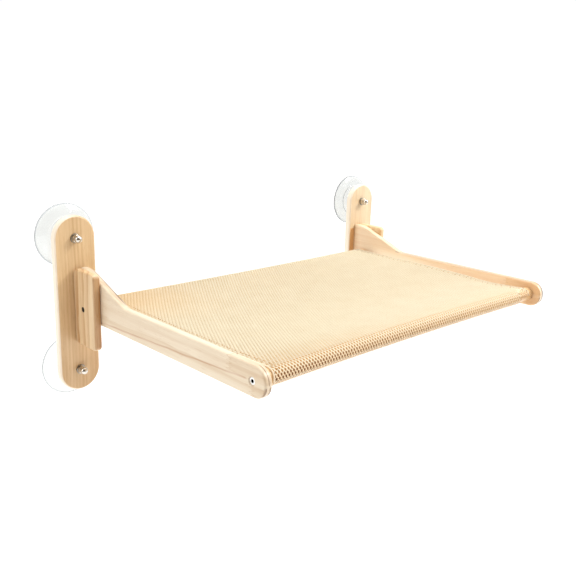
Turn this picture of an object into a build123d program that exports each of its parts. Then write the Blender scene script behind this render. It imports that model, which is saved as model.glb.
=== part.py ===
"""Window mounted cat perch: a mesh sling on a wooden bracket frame that hangs from four suction cups.

The glass is the plane Y = 0, the room is at -Y, +Z is up and +X is to the right seen from the room.
The origin is the point of the glass halfway between the four cups. All sizes are in millimetres.
"""

import math
import os

from build123d import *

# Boards: every flat wooden piece is cut from one thickness and has its edges rounded over
board_thickness = 10.0
edge_round = 2.5

# Uprights, the two boards that carry the cups
upright_width = 55.0
upright_height = 228.0

# Side arms: a tall heel against the upright, a slope and a level rail with a rounded nose
arm_length = 350.0
rail_height = 34.0
heel_height = 48.5
heel_crown_length = 18.5
heel_crown_radius = 65.0
slope_length = 100.0
slope_foot_radius = 8.0
nose_radius = 16.5

# Cleats, the blocks that hold the arms against the uprights
cleat_height = 97.0
cleat_depth = 49.0
cleat_corner_radius = 6.0

# Dowels, drawn towards each other at mid length by the stretched sling
dowel_diameter = 18.0
front_dowel_inset = 20.0
rear_dowel_inset = 22.0
dowel_bow = 4.0

# Suction cups
cup_diameter = 80.0
cup_end_distance = 28.0
cup_height = 17.0
cup_hollow_depth = 8.0
cup_seal_width = 3.0
cup_lip_thickness = 1.4
cup_skirt_bulge = 0.5
cup_body_diameter = 50.0
cup_skirt_height = 6.8
cup_ring_width = 1.8
cup_ring_rise = 1.5
cup_shoulder_height = 13.5
cup_shoulder_sink = 1.0
cup_boss_diameter = 24.0

# Studs moulded into the cups
stud_diameter = 6.0
stud_flange_diameter = 16.0
stud_flange_thickness = 2.5
stud_flange_depth = 4.5
stud_tip_chamfer = 0.8
mould_gap = 0.05

# Washers and dome nuts on the studs
washer_diameter = 12.5
washer_thickness = 1.6
washer_clearance = 0.2
nut_across_flats = 10.0
nut_height = 12.0
nut_hex_height = 5.0
nut_chamfer = 0.7
nut_dome_diameter = 9.5
nut_bore_depth = 9.8
nut_thread_clearance = 0.05
nut_tip_gap = 0.4
stud_hole_clearance = 0.3

# Bolts and threaded inserts at the ends of the front dowel
bolt_diameter = 5.0
bolt_head_diameter = 9.5
bolt_head_height = 2.6
bolt_head_sink = 0.2
bolt_head_clearance = 0.1
bolt_socket_across_flats = 3.5
bolt_socket_depth = 2.0
bolt_tip_chamfer = 0.6
bolt_hole_clearance = 0.15
insert_diameter = 8.0
insert_length = 13.0
insert_clearance = 0.05
bolt_tip_gap = 1.0

# Screws: long ones through cleat and arm into the rear dowel, short ones through the uprights
dowel_screw_diameter = 4.5
dowel_screw_grip = 25.0
wood_screw_diameter = 4.0
wood_screw_length = 35.0
screw_head_diameter = 7.0
screw_head_height = 2.6
screw_head_sink = 0.4
screw_slot_diameter = 2.8
screw_slot_depth = 1.5
screw_tip_length = 5.0
screw_clearance = 0.05
cleat_screw_end_distance = 18.0
arm_upper_screw_height = 34.0
arm_lower_screw_height = -9.0

# Sling
sling_width = 484.0
sling_side_gap = 10.0
sling_thickness = 1.2
sling_gap = 0.3
sling_sag = 12.0
sling_edge_sag = 2.0
pocket_length = 30.0
pocket_stitch_width = 8.0
pocket_short_width = 21.0
pocket_short_top = 2.0
sling_station_shares = (-1.0, -0.5, 0.0, 0.5, 1.0)
pocket_wrap_shares = (0.0, 0.25, 0.5, 0.75, 1.0)

# One overrun for every cut that passes right through
overrun = 2.0

# Planes and lines that the pieces share
upright_back = cup_height
upright_front = upright_back + board_thickness
arm_front = upright_front + arm_length
rear_dowel_depth = upright_front + rear_dowel_inset
front_dowel_depth = arm_front - front_dowel_inset
cleat_offset = -board_thickness / 2
arm_offset = cleat_offset - board_thickness
dowel_length = sling_width + 2 * sling_side_gap
frame_half_width = dowel_length / 2 - arm_offset
dowel_radius = dowel_diameter / 2
cup_rise = upright_height / 2 - cup_end_distance
cleat_screw_rise = cleat_height / 2 - cleat_screw_end_distance
washer_front = upright_front + washer_thickness
stud_end = washer_front + nut_bore_depth - nut_tip_gap
SIDES = {"left": -1, "right": 1}
LEVELS = {"upper": 1, "lower": -1}


def facing_room(x, depth, z):
    """Plane whose normal points into the room, at a distance from the glass."""
    return Plane(origin=(x, -depth, z), x_dir=(1, 0, 0), z_dir=(0, -1, 0))


def facing_inwards(side, x, depth, z):
    """Plane on one side's outer face whose normal points to the middle of the perch."""
    return Plane(origin=(side * x, -depth, z), x_dir=(0, 1, 0), z_dir=(-side, 0, 0))


def turned(*edges):
    """Solid of revolution about +Z from a closed outline of radius and height."""
    outline = make_face(Plane.XZ * (Curve() + list(edges)))
    return revolve(outline, axis=Axis.Z)


def turned_polygon(*points):
    """Solid of revolution about +Z whose outline is straight lines between points."""
    return turned(Polyline(*points, close=True))


def rod(radius, start, end):
    """Round bar along +Z between two heights."""
    return extrude(Plane.XY.offset(start) * Circle(radius), end - start)


def rounded(board):
    """The board with every edge rounded over."""
    return fillet(board.edges(), edge_round)


def arc_rise(half_span, rise, reach):
    """Height of a round arc over its chord at a distance from mid span, from its height there."""
    bend_radius = (half_span**2 + rise**2) / (2 * rise)
    return rise - bend_radius + math.sqrt(bend_radius**2 - reach**2)


def bow_at(x):
    """How far a dowel stands inwards of its end line, at a place along it."""
    return arc_rise(dowel_length / 2, dowel_bow, x)


def screw_outline(diameter, length):
    """Countersunk screw along +Z with the top of its head at 0."""
    head = screw_head_diameter / 2
    shank = diameter / 2
    screw = turned_polygon(
        (0, 0), (head, 0), (shank, screw_head_height),
        (shank, length - screw_tip_length), (0, length),
    )
    slot = turned_polygon((0, 0), (screw_slot_diameter / 2, 0), (0, screw_slot_depth))
    return screw - slot


def screw_hole(diameter, length):
    """Countersunk hole for such a screw, open beyond the board's face."""
    head = screw_head_diameter / 2 + screw_clearance
    shank = diameter / 2 + screw_clearance
    cone = screw_head_height + screw_clearance
    return turned_polygon(
        (0, -overrun), (head, -overrun), (head, 0), (shank, cone),
        (shank, length + screw_clearance), (0, length + screw_clearance),
    )


def upright_screw_places(side):
    """Places of the wood screws in one upright: a pair in the cleat, then a pair in the arm."""
    centre = side * frame_half_width
    arm_line = side * (frame_half_width + arm_offset + board_thickness / 2)
    cleat_pair = [(centre, level * cleat_screw_rise) for level in LEVELS.values()]
    arm_pair = [(arm_line, arm_upper_screw_height), (arm_line, arm_lower_screw_height)]
    return cleat_pair, arm_pair


def wood_screws(places, maker):
    """The wood screws, or their holes, at the given places of an upright's back."""
    head_plane = upright_back + screw_head_sink
    shape = maker(wood_screw_diameter, wood_screw_length)
    return Part() + [facing_room(x, head_plane, z) * shape for x, z in places]


def make_upright(side):
    """Board with half-round ends, drilled for two studs and four wood screws."""
    centre = side * frame_half_width
    outline = SlotOverall(upright_height, upright_width, rotation=90)
    board = rounded(extrude(facing_room(centre, upright_back, 0) * outline, board_thickness))
    hole_radius = stud_diameter / 2 + stud_hole_clearance
    for level in LEVELS.values():
        place = facing_room(centre, upright_back, level * cup_rise)
        board -= place * rod(hole_radius, -overrun, board_thickness + overrun)
    cleat_pair, arm_pair = upright_screw_places(side)
    return board - wood_screws(cleat_pair + arm_pair, screw_hole)


def make_cleat(side):
    """Block that stands on the upright beside the arm, drilled for the rear dowel's long screw."""
    inner = frame_half_width + cleat_offset
    start = inner if side > 0 else -inner - board_thickness
    middle = upright_front + cleat_depth / 2
    outline = RectangleRounded(cleat_depth, cleat_height, cleat_corner_radius)
    block = extrude(Plane.YZ.offset(start) * Pos(-middle, 0) * outline, board_thickness)
    block = rounded(block)
    cleat_pair, _ = upright_screw_places(side)
    block -= wood_screws(cleat_pair, screw_hole)
    return block - dowel_screw(side, screw_hole)


def arm_outline():
    """Side view of an arm, in distance from the glass (negative Y) and height."""
    half_rail = rail_height / 2
    heel = (-upright_front, heel_height)
    crown = (-upright_front - heel_crown_length, heel_height)
    foot = (-upright_front - slope_length, half_rail)
    nose_top = (-arm_front, half_rail)
    nose_bottom = (-arm_front, -half_rail)
    root = (-upright_front, -half_rail)
    radii = (0, heel_crown_radius, slope_foot_radius, nose_radius, nose_radius, 0)
    return FilletPolyline(heel, crown, foot, nose_top, nose_bottom, root, radius=radii, close=True)


def make_arm(side):
    """Flag-shaped side arm, drilled for its bolt, its long screw and two wood screws."""
    inner = frame_half_width + arm_offset
    start = inner if side > 0 else -inner - board_thickness
    board = rounded(extrude(Plane.YZ.offset(start) * make_face(arm_outline()), board_thickness))
    bolt_radius = bolt_diameter / 2 + bolt_hole_clearance
    head = bolt_head_diameter / 2 + bolt_head_clearance
    through = board_thickness + overrun
    board -= bolt_place(side) * turned_polygon(
        (0, -overrun), (head, -overrun), (head, 0), (bolt_radius, bolt_head_height), (bolt_radius, through),
        (0, through),
    )
    _, arm_pair = upright_screw_places(side)
    board -= wood_screws(arm_pair, screw_hole)
    return board - dowel_screw(side, screw_hole)


def dowel_screw(side, maker):
    """Long screw, or its hole, through cleat and arm into the end of the rear dowel."""
    outer = frame_half_width + cleat_offset + board_thickness - screw_head_sink
    length = 2 * board_thickness - screw_head_sink + dowel_screw_grip
    return facing_inwards(side, outer, rear_dowel_depth, 0) * maker(dowel_screw_diameter, length)


def make_dowel(depth, inwards):
    """Round bar between the arms, bowed by the sling, before its ends are drilled."""
    half = dowel_length / 2
    reach = half + overrun
    middle = -depth + inwards * dowel_bow
    end = -depth + inwards * bow_at(reach)
    path = ThreePointArc((-reach, end, 0), (0, middle, 0), (reach, end, 0))
    start_plane = Plane(origin=path @ 0, z_dir=path % 0)
    bar = sweep(start_plane * Circle(dowel_radius), path=path)
    room = 2 * (dowel_diameter + dowel_bow)
    return bar & (Pos(0, -depth, 0) * Box(dowel_length, room, room))


def make_front_dowel():
    """Front dowel with a bore for a threaded insert in each end."""
    dowel = make_dowel(front_dowel_depth, 1)
    bore_radius = insert_diameter / 2 + insert_clearance
    for side in SIDES.values():
        end = facing_inwards(side, dowel_length / 2, front_dowel_depth, 0)
        dowel -= end * rod(bore_radius, -overrun, insert_length)
    return dowel


def make_rear_dowel():
    """Rear dowel with a pilot hole for the long screw in each end."""
    dowel = make_dowel(rear_dowel_depth, -1)
    for side in SIDES.values():
        dowel -= dowel_screw(side, screw_hole)
    return dowel


def bolt_place(side):
    """Plane of a front bolt's flat head, just under the arm's outer face."""
    outer = frame_half_width + cleat_offset - bolt_head_sink
    return facing_inwards(side, outer, front_dowel_depth, 0)


def make_bolt(side):
    """Countersunk bolt with a hexagon socket, through the arm into the insert."""
    shank = bolt_diameter / 2
    length = board_thickness - bolt_head_sink + insert_length - bolt_tip_gap
    bolt = turned_polygon(
        (0, 0), (bolt_head_diameter / 2, 0), (shank, bolt_head_height), (shank, length - bolt_tip_chamfer),
        (shank - bolt_tip_chamfer, length), (0, length),
    )
    hexagon = RegularPolygon(bolt_socket_across_flats / 2, 6, major_radius=False)
    return bolt_place(side) * (bolt - extrude(hexagon, bolt_socket_depth))


def make_insert(side):
    """Threaded insert in the end of the front dowel."""
    bore = bolt_diameter / 2 + insert_clearance
    sleeve = rod(insert_diameter / 2, 0, insert_length) - rod(bore, -overrun, insert_length + overrun)
    return facing_inwards(side, dowel_length / 2, front_dowel_depth, 0) * sleeve


def make_cup():
    """Suction cup standing on the glass plane, hollow towards it, moulded round the stud's flange."""
    rim = cup_diameter / 2
    seal = rim - cup_seal_width
    body = cup_body_diameter / 2
    ring = body - cup_ring_width
    boss = cup_boss_diameter / 2
    ring_top = cup_skirt_height + cup_ring_rise
    skirt = ThreePointArc(
        (rim, cup_lip_thickness),
        ((rim + body) / 2, (cup_lip_thickness + cup_skirt_height) / 2 + cup_skirt_bulge),
        (body, cup_skirt_height),
    )
    step = Polyline((body, cup_skirt_height), (body, ring_top), (ring, ring_top))
    shoulder = ThreePointArc(
        (ring, ring_top), ((ring + boss) / 2, (ring_top + cup_shoulder_height) / 2 - cup_shoulder_sink),
        (boss, cup_shoulder_height),
    )
    boss_and_axis = Polyline(
        (boss, cup_shoulder_height), (boss, cup_height), (0, cup_height), (0, cup_hollow_depth)
    )
    hollow_side = (seal / 2, arc_rise(seal, cup_hollow_depth, seal / 2))
    hollow = ThreePointArc((0, cup_hollow_depth), hollow_side, (seal, 0))
    lip = Polyline((seal, 0), (rim, 0), (rim, cup_lip_thickness))
    cup = turned(skirt, step, shoulder, boss_and_axis, hollow, lip)
    flange_top = cup_height - stud_flange_depth
    pocket = rod(stud_flange_diameter / 2 + mould_gap, flange_top - stud_flange_thickness, flange_top)
    neck = rod(stud_diameter / 2 + mould_gap, flange_top - stud_flange_thickness, cup_height + overrun)
    return cup - pocket - neck


def make_stud():
    """Flanged stud from inside the cup to the dome nut."""
    shank = stud_diameter / 2
    flange = stud_flange_diameter / 2
    flange_top = cup_height - stud_flange_depth
    flange_bottom = flange_top - stud_flange_thickness
    return turned_polygon(
        (0, flange_bottom), (flange, flange_bottom), (flange, flange_top), (shank, flange_top),
        (shank, stud_end - stud_tip_chamfer), (shank - stud_tip_chamfer, stud_end), (0, stud_end),
    )


def make_washer():
    """Flat washer on the upright's face."""
    bore = rod(stud_diameter / 2 + washer_clearance, upright_front - overrun, washer_front + overrun)
    return rod(washer_diameter / 2, upright_front, washer_front) - bore


def make_dome_nut():
    """Closed dome nut: a chamfered hexagon with a round cap, bored for the stud."""
    corner = nut_across_flats / math.sqrt(3)
    dome = nut_dome_diameter / 2
    chamfered = turned_polygon(
        (0, 0), (corner - nut_chamfer, 0), (corner, nut_chamfer), (corner, nut_hex_height - nut_chamfer),
        (corner - nut_chamfer, nut_hex_height), (0, nut_hex_height),
    )
    hexagon = extrude(RegularPolygon(nut_across_flats / 2, 6, major_radius=False), nut_hex_height)
    wall_top = nut_height - dome
    cap_side = dome / math.sqrt(2)
    cap = turned(
        Polyline((0, nut_height), (0, nut_hex_height), (dome, nut_hex_height), (dome, wall_top)),
        ThreePointArc((dome, wall_top), (cap_side, wall_top + cap_side), (0, nut_height)),
    )
    bore = rod(stud_diameter / 2 + nut_thread_clearance, -overrun, nut_bore_depth)
    return Pos(0, 0, washer_front) * ((hexagon & chamfered) + cap - bore)


def dowel_line(x, depth, end):
    """Distance of a bowed dowel's middle from the glass, at a place along it."""
    return depth - end * bow_at(x)


def web_height(x_share, distance):
    """Height of the sling's top face at a distance from the glass: a hanging arc between the dowels."""
    x = x_share * sling_width / 2
    top = dowel_radius + sling_gap + sling_thickness
    sag = sling_edge_sag + (sling_sag - sling_edge_sag) * (1 - x_share**2)
    front = dowel_line(x, front_dowel_depth, 1)
    rear = dowel_line(x, rear_dowel_depth, -1)
    return top - arc_rise((front - rear) / 2, sag, distance - (front + rear) / 2)


def pocket_wrap(x, end, radius, seam_distance, seam_height):
    """Edges of one pocket layer: over the dowel, round it and in a straight run up to the seam.

    end is 1 at the front dowel and -1 at the rear one.
    """
    depth = front_dowel_depth if end > 0 else rear_dowel_depth
    line = dowel_line(x, depth, end)
    to_seam = end * (seam_distance - line)
    leaving = math.atan2(seam_height, to_seam) + math.acos(radius / math.hypot(to_seam, seam_height))
    top = math.pi / 2
    turn = leaving - 2 * math.pi - top

    angles = [top + share * turn for share in pocket_wrap_shares]
    stops = [(x, -(line + end * radius * math.cos(a)), radius * math.sin(a)) for a in angles]
    seam = (x, -seam_distance, seam_height)
    return [ThreePointArc(*stops[:3]), ThreePointArc(*stops[2:]), Line(stops[-1], seam)]


def sling_section(x_share):
    """Closed section of the sling at one station: web, and a pocket round each dowel."""
    x = x_share * sling_width / 2
    outer = dowel_radius + sling_gap + sling_thickness
    lines = {1: dowel_line(x, front_dowel_depth, 1), -1: dowel_line(x, rear_dowel_depth, -1)}
    seams = {end: line - end * pocket_length for end, line in lines.items()}
    middle = (lines[1] + lines[-1]) / 2

    def under(distance, layers):
        return (x, -distance, web_height(x_share, distance) - layers * sling_thickness)

    edges = [ThreePointArc((x, -lines[-1], outer), under(middle, 0), (x, -lines[1], outer))]
    for end in (1, -1):
        _, _, seam_height = under(seams[end], 2)
        edges += pocket_wrap(x, end, outer, seams[end], seam_height)
        edges.append(Line(under(seams[end], 2), under(seams[end], 1)))
    edges.append(ThreePointArc(under(seams[1], 1), under(middle, 1), under(seams[-1], 1)))
    return Face(Wire(edges))


def pocket_section(x_share, end):
    """Closed section of the space inside one pocket."""
    x = x_share * sling_width / 2
    inner = dowel_radius + sling_gap
    depth = front_dowel_depth if end > 0 else rear_dowel_depth
    line = dowel_line(x, depth, end)
    seam = line - end * (pocket_length - pocket_stitch_width)
    seam_height = web_height(x_share, seam) - sling_thickness
    roof = Line((x, -seam, seam_height), (x, -line, inner))
    return Face(Wire([roof, *pocket_wrap(x, end, inner, seam, seam_height)]))


def make_sling():
    """Mesh sling: a sagging web whose ends are sewn into pockets round the dowels."""
    sling = loft([sling_section(share) for share in sling_station_shares])
    wider_shares = [share * (1 + overrun / sling_width) for share in sling_station_shares]
    for end in (1, -1):
        sling -= loft([pocket_section(share, end) for share in wider_shares])
    corner = Box(2 * pocket_short_width, 2 * (pocket_length + overrun), 2 * dowel_diameter)
    return sling - Pos(sling_width / 2, -front_dowel_depth, pocket_short_top - dowel_diameter) * corner


def make_parts():
    """Every piece of the perch, by name."""
    parts = {
        "front_dowel": make_front_dowel(),
        "rear_dowel": make_rear_dowel(),
        "fabric_sling": make_sling(),
    }
    makers = {"cup": make_cup, "stud": make_stud, "washer": make_washer, "dome_nut": make_dome_nut}
    cup_set = {piece_name: maker() for piece_name, maker in makers.items()}
    for side_name, side in SIDES.items():
        cleat_pair, arm_pair = upright_screw_places(side)
        parts[f"{side_name}_upright"] = make_upright(side)
        parts[f"{side_name}_cleat"] = make_cleat(side)
        parts[f"{side_name}_arm"] = make_arm(side)
        parts[f"{side_name}_front_bolt"] = make_bolt(side)
        parts[f"{side_name}_insert"] = make_insert(side)
        parts[f"{side_name}_dowel_screw"] = dowel_screw(side, screw_outline)
        parts[f"{side_name}_cleat_screws"] = wood_screws(cleat_pair, screw_outline)
        parts[f"{side_name}_arm_screws"] = wood_screws(arm_pair, screw_outline)
        for level_name, level in LEVELS.items():
            place = facing_room(side * frame_half_width, 0, level * cup_rise)
            for piece_name, piece in cup_set.items():
                parts[f"{side_name}_{level_name}_{piece_name}"] = place * piece
    return parts


def main():
    """Writes each piece as its own STEP file."""
    os.makedirs("parts", exist_ok=True)
    for name, shape in make_parts().items():
        export_step(shape, f"parts/{name}.step")
        print(f"{name}: {len(shape.solids())} solid(s), {shape.volume:.0f} mm3")


main()
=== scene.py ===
"""Looks of a window mounted cat perch: pine boards, clear suction cups, chromed nuts and a knitted sling.

The glass is the plane Y = 0, the room is at -Y, +Z is up and +X is to the right seen from the room.
Lengths are in metres and angles in radians, unless a name says otherwise. Display colours run from 0 to 255.
"""

import logging
import math
from dataclasses import dataclass, field
from enum import Enum
from typing import Sequence

import bpy
import numpy as np
from mathutils import Matrix, Vector


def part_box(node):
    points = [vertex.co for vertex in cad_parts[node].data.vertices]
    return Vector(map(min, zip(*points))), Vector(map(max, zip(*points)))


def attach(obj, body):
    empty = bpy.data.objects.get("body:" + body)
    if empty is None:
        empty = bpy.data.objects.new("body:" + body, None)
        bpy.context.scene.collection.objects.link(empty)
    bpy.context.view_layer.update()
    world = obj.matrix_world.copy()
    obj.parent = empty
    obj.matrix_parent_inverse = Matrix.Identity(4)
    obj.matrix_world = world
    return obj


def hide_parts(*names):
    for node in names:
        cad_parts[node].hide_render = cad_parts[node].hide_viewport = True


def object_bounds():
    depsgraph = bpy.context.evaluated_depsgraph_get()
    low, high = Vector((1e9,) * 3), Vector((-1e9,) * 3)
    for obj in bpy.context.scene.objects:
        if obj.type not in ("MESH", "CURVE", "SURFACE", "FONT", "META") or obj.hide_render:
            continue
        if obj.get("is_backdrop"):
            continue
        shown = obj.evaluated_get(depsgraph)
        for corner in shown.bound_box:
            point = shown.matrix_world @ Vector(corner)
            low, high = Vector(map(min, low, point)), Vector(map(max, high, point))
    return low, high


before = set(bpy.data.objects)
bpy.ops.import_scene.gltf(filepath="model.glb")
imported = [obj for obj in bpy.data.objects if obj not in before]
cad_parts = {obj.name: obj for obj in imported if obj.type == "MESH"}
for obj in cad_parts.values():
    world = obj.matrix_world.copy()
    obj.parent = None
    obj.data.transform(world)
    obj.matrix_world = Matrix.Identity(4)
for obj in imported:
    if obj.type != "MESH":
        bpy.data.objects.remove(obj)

# A Place is in space and a Point in a section. A Span runs from one value to another, which may be smaller.
Array = np.ndarray
Material = bpy.types.Material
Place = tuple[float, float, float]
Colour = tuple[float, float, float]
Pair = tuple[Colour, Colour]
Point = tuple[float, float]
Span = tuple[float, float]
Stretch = tuple[Array | float, Array | float]

MM = 0.001
CM_PER_M = 100
TURN = 2 * math.pi
SHARP_DEGREES = 38.0
NO_SHARP_DEGREES = 180.0
SAME_POINT = 0.001 * MM
NO_AREA = 1e-14
THREAD_RUN_IN = 3 * MM
SPANS_PER_PITCH = 8
EVERYWHERE: Span = (-1.0, 1.0)
ROOT = "perch_frame"
DOWELS = ["front_dowel", "rear_dowel"]
LIP = "lip"
SINK = "sink"
log = logging.getLogger("cat_perch")


class Side(Enum):
    """Side of the perch seen from the room."""

    LEFT = -1
    RIGHT = 1

    @property
    def word(self) -> str:
        """Name of the side as the nodes spell it."""
        return self.name.lower()


class Level(Enum):
    """Upper or lower cup of one upright."""

    UPPER = 1
    LOWER = -1

    @property
    def word(self) -> str:
        """Name of the level as the nodes spell it."""
        return self.name.lower()


class Grain(Enum):
    """Row axes along the grain, across the board's face and through its thickness."""

    ALONG_X = ("X", "Z", "Y")
    ALONG_Y = ("Y", "Z", "X")
    ALONG_Z = ("Z", "X", "Y")
    UP_THE_CLEAT = ("Z", "Y", "X")


class Cloth(Enum):
    """Cloths and thread of the sling, by the names of their materials."""

    FACE = "mesh_yarn"
    CORE = "core_yarn"
    UNDERSIDE = "plain_knit"
    # The hem knit is paler than the plain knit, as painted light on the hem.
    HEM = "hem_knit"
    POCKET = "ribbed_knit"
    THREAD = "thread"


# Meshes


def centre_of(node: str) -> Vector:
    """Middle of a node's box."""
    low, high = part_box(node)
    return (low + high) / 2


def round_angles(steps: int) -> Array:
    """Angles of a ring's points, evenly spaced from 0."""
    return np.arange(steps) * (TURN / steps)


def length_along(path: Array) -> Array:
    """Length from the start of a path to each of its points, which follow each other along the first axis."""
    steps = np.linalg.norm(np.diff(path, axis=0), axis=-1)
    return np.concatenate([np.zeros_like(steps[:1]), np.cumsum(steps, 0)])


def mesh_points(mesh: bpy.types.Mesh) -> Array:
    """Places of a mesh's points, one row each.

    Args:
        mesh: The mesh.

    Returns:
        Points by three numbers.
    """
    places = np.empty(len(mesh.vertices) * 3, np.float32)
    mesh.vertices.foreach_get("co", places)
    return places.reshape(-1, 3)


def keep_values(piece: bpy.types.Object, name: str, values: Array) -> None:
    """Keeps a number for each point of a piece, under the name that its finish reads."""
    layer = piece.data.attributes.new(name, "FLOAT", "POINT")
    layer.data.foreach_set("value", values.astype(np.float32))


def make_object(name: str, points: Array, faces: Sequence[Array], flat: Array | None = None,
                sharp: float = SHARP_DEGREES) -> bpy.types.Object:
    """Mesh object with smooth faces and sharp edges kept where the surface turns quickly.

    Args:
        name: Name of the piece.
        points: Places of the points, one row each.
        faces: Arrays of corner numbers, one array for each count of corners.
        flat: Flat place of each point, kept as the piece's UV map.
        sharp: Turn in degrees above which an edge stays sharp.

    Returns:
        The linked object.
    """
    counts = np.concatenate([np.full(len(group), group.shape[1]) for group in faces])
    corners = np.concatenate([group.ravel() for group in faces]).astype(np.int32)
    mesh = bpy.data.meshes.new(name)
    mesh.vertices.add(len(points))
    mesh.vertices.foreach_set("co", points.astype(np.float32).ravel())
    mesh.loops.add(len(corners))
    mesh.loops.foreach_set("vertex_index", corners)
    mesh.polygons.add(len(counts))
    mesh.polygons.foreach_set("loop_start", (np.cumsum(counts) - counts).astype(np.int32))
    mesh.update(calc_edges=True)
    mesh.polygons.foreach_set("use_smooth", np.ones(len(counts), bool))
    if flat is not None:
        layer = mesh.uv_layers.new(name="flat")
        layer.data.foreach_set("uv", flat[corners].astype(np.float32).ravel())
    mesh.validate()
    mesh.set_sharp_from_angle(angle=math.radians(sharp))
    made = bpy.data.objects.new(name, mesh)
    bpy.context.scene.collection.objects.link(made)
    return made


def smooth_copy(node: str) -> bpy.types.Object:
    """Merged copy of a node's solid whose rounded edges are shaded as one curve with its flat sides.

    A corner's normal is the sum of the face normals round its point, each times its face's area, over the
    faces that turn less than the sharp angle from the corner's own face.

    Args:
        node: Name of the node.

    Returns:
        The copy, which keeps the solid's shape.
    """
    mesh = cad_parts[node].data
    places = mesh_points(mesh)
    corners = np.empty(len(mesh.loops), np.int32)
    mesh.loops.foreach_get("vertex_index", corners)
    _, first, number = np.unique(np.round(places / SAME_POINT).astype(np.int64), axis=0, return_index=True,
                                 return_inverse=True)
    faces = number.ravel()[corners].reshape(-1, 3)
    points = places[first].astype(float)
    sides = points[faces]
    normal = np.cross(sides[:, 1] - sides[:, 0], sides[:, 2] - sides[:, 0])
    area = np.linalg.norm(normal, axis=1)
    whole = area > NO_AREA
    faces, normal, area = faces[whole], normal[whole], area[whole]
    unit = normal / area[:, None]
    corner_point, corner_face = faces.ravel(), np.repeat(np.arange(len(faces)), 3)
    order = np.argsort(corner_point, kind="stable")
    start = np.searchsorted(corner_point[order], np.arange(len(points)))
    count = np.bincount(corner_point, minlength=len(points))
    total = np.zeros((len(corner_point), 3))
    least = math.cos(math.radians(SHARP_DEGREES))
    for step in range(int(count.max())):
        has = count[corner_point] > step
        other = corner_face[order[start[corner_point[has]] + step]]
        near = np.einsum("ij,ij->i", unit[corner_face[has]], unit[other]) > least
        total[has] += np.where(near[:, None], normal[other], 0.0)
    total /= np.linalg.norm(total, axis=1, keepdims=True)
    made = make_object(f"{node}_shape", points, [faces], sharp=NO_SHARP_DEGREES)
    made.data.normals_split_custom_set(total.astype(np.float32))
    return made


def outward(points: Array, faces: Sequence[Array]) -> list[Array]:
    """Faces of a closed surface, turned round where they would enclose a negative volume.

    The volume is the sum, over triangles, of the product of a corner with the cross product of the other two.

    Args:
        points: Places of the points, one row each.
        faces: Arrays of corner numbers, one array for each count of corners.

    Returns:
        The arrays, with their faces outwards.
    """
    volume = 0.0
    for group in faces:
        for k in range(1, group.shape[1] - 1):
            a, b, c = points[group[:, 0]], points[group[:, k]], points[group[:, k + 1]]
            volume += float(np.einsum("ij,ij->", a, np.cross(b, c)))
    return list(faces) if volume > 0 else [group[:, ::-1] for group in faces]


def grid_faces(rows: int, columns: int, ring: bool = False, loop: bool = False) -> Array:
    """Quads of a grid of points.

    Args:
        rows: Count of rows of points.
        columns: Count of points in a row.
        ring: Whether each row closes on itself.
        loop: Whether the last row joins the first.

    Returns:
        Corner numbers, four for each quad.
    """
    i = np.arange(rows if loop else rows - 1)[:, None]
    j = np.arange(columns if ring else columns - 1)[None, :]
    below, beside = (i + 1) % rows, (j + 1) % columns
    corners = [i * columns + j, i * columns + beside, below * columns + beside, below * columns + j]
    return np.stack(np.broadcast_arrays(*corners), -1).reshape(-1, 4)


def stretch(profile: Array) -> Stretch:
    """Radii and heights of a profile's points, as turned() takes them."""
    return profile[:, :1], profile[:, 1]


def turned(steps: int, *stretches: Stretch) -> tuple[Array, list[Array]]:
    """Surface of revolution about local Z: (radius cos angle, radius sin angle, height).

    Args:
        steps: Count of points round the axis.
        stretches: Radii and heights of each stretch of the profile, in order. The radii are one number, a
            column with a number for each height, or a row of numbers round the axis for each height. The
            first and the last point lie on the axis where their radius is 0.

    Returns:
        The points, and the quads and pole triangles, facing outwards.
    """
    heights = [np.atleast_1d(np.asarray(height, float)) for _, height in stretches]
    radius = np.concatenate([
        np.broadcast_to(radii, (len(height), steps)) for (radii, _), height in zip(stretches, heights)])
    level = np.broadcast_to(np.concatenate(heights)[:, None], radius.shape)
    angle = round_angles(steps)
    points = np.stack([radius * np.cos(angle), radius * np.sin(angle), level], -1)
    has_pole = [bool(np.all(radius[row] == 0)) for row in (0, -1)]
    body = points[int(has_pole[0]):len(points) - int(has_pole[1])]
    faces = [grid_faces(len(body), steps, ring=True, loop=not any(has_pole))]
    flat_points = [body.reshape(-1, 3)]
    around = np.arange(steps)
    for end, pole in enumerate(has_pole):
        if pole:
            tip = len(body) * steps + len(flat_points) - 1
            start = (len(body) - 1) * steps if end else 0
            pair = (around, (around + 1) % steps) if end else ((around + 1) % steps, around)
            faces.append(np.stack([start + pair[0], start + pair[1], np.full(steps, tip)], -1))
            flat_points.append(points[-1 if end else 0, :1])
    joined = np.concatenate(flat_points)
    return joined, outward(joined, faces)


def threaded(radius: float, depth: float, pitch: float, height: Array, steps: int) -> Array:
    """Radii of a thread: the radius less its depth times the distance from a crest, in half pitches.

    Args:
        radius: Radius of the crests.
        depth: Depth that the thread grows to from the first height on.
        pitch: Distance from one crest to the next.
        height: Heights of the thread's points.
        steps: Count of points round the axis.

    Returns:
        A row of radii for each height.
    """
    phase = (height[:, None] / pitch - np.arange(steps) / steps) % 1.0
    grown = np.clip((height - height[0]) / THREAD_RUN_IN, 0, 1)[:, None]
    return radius - depth * grown * np.abs(2 * phase - 1)


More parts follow.
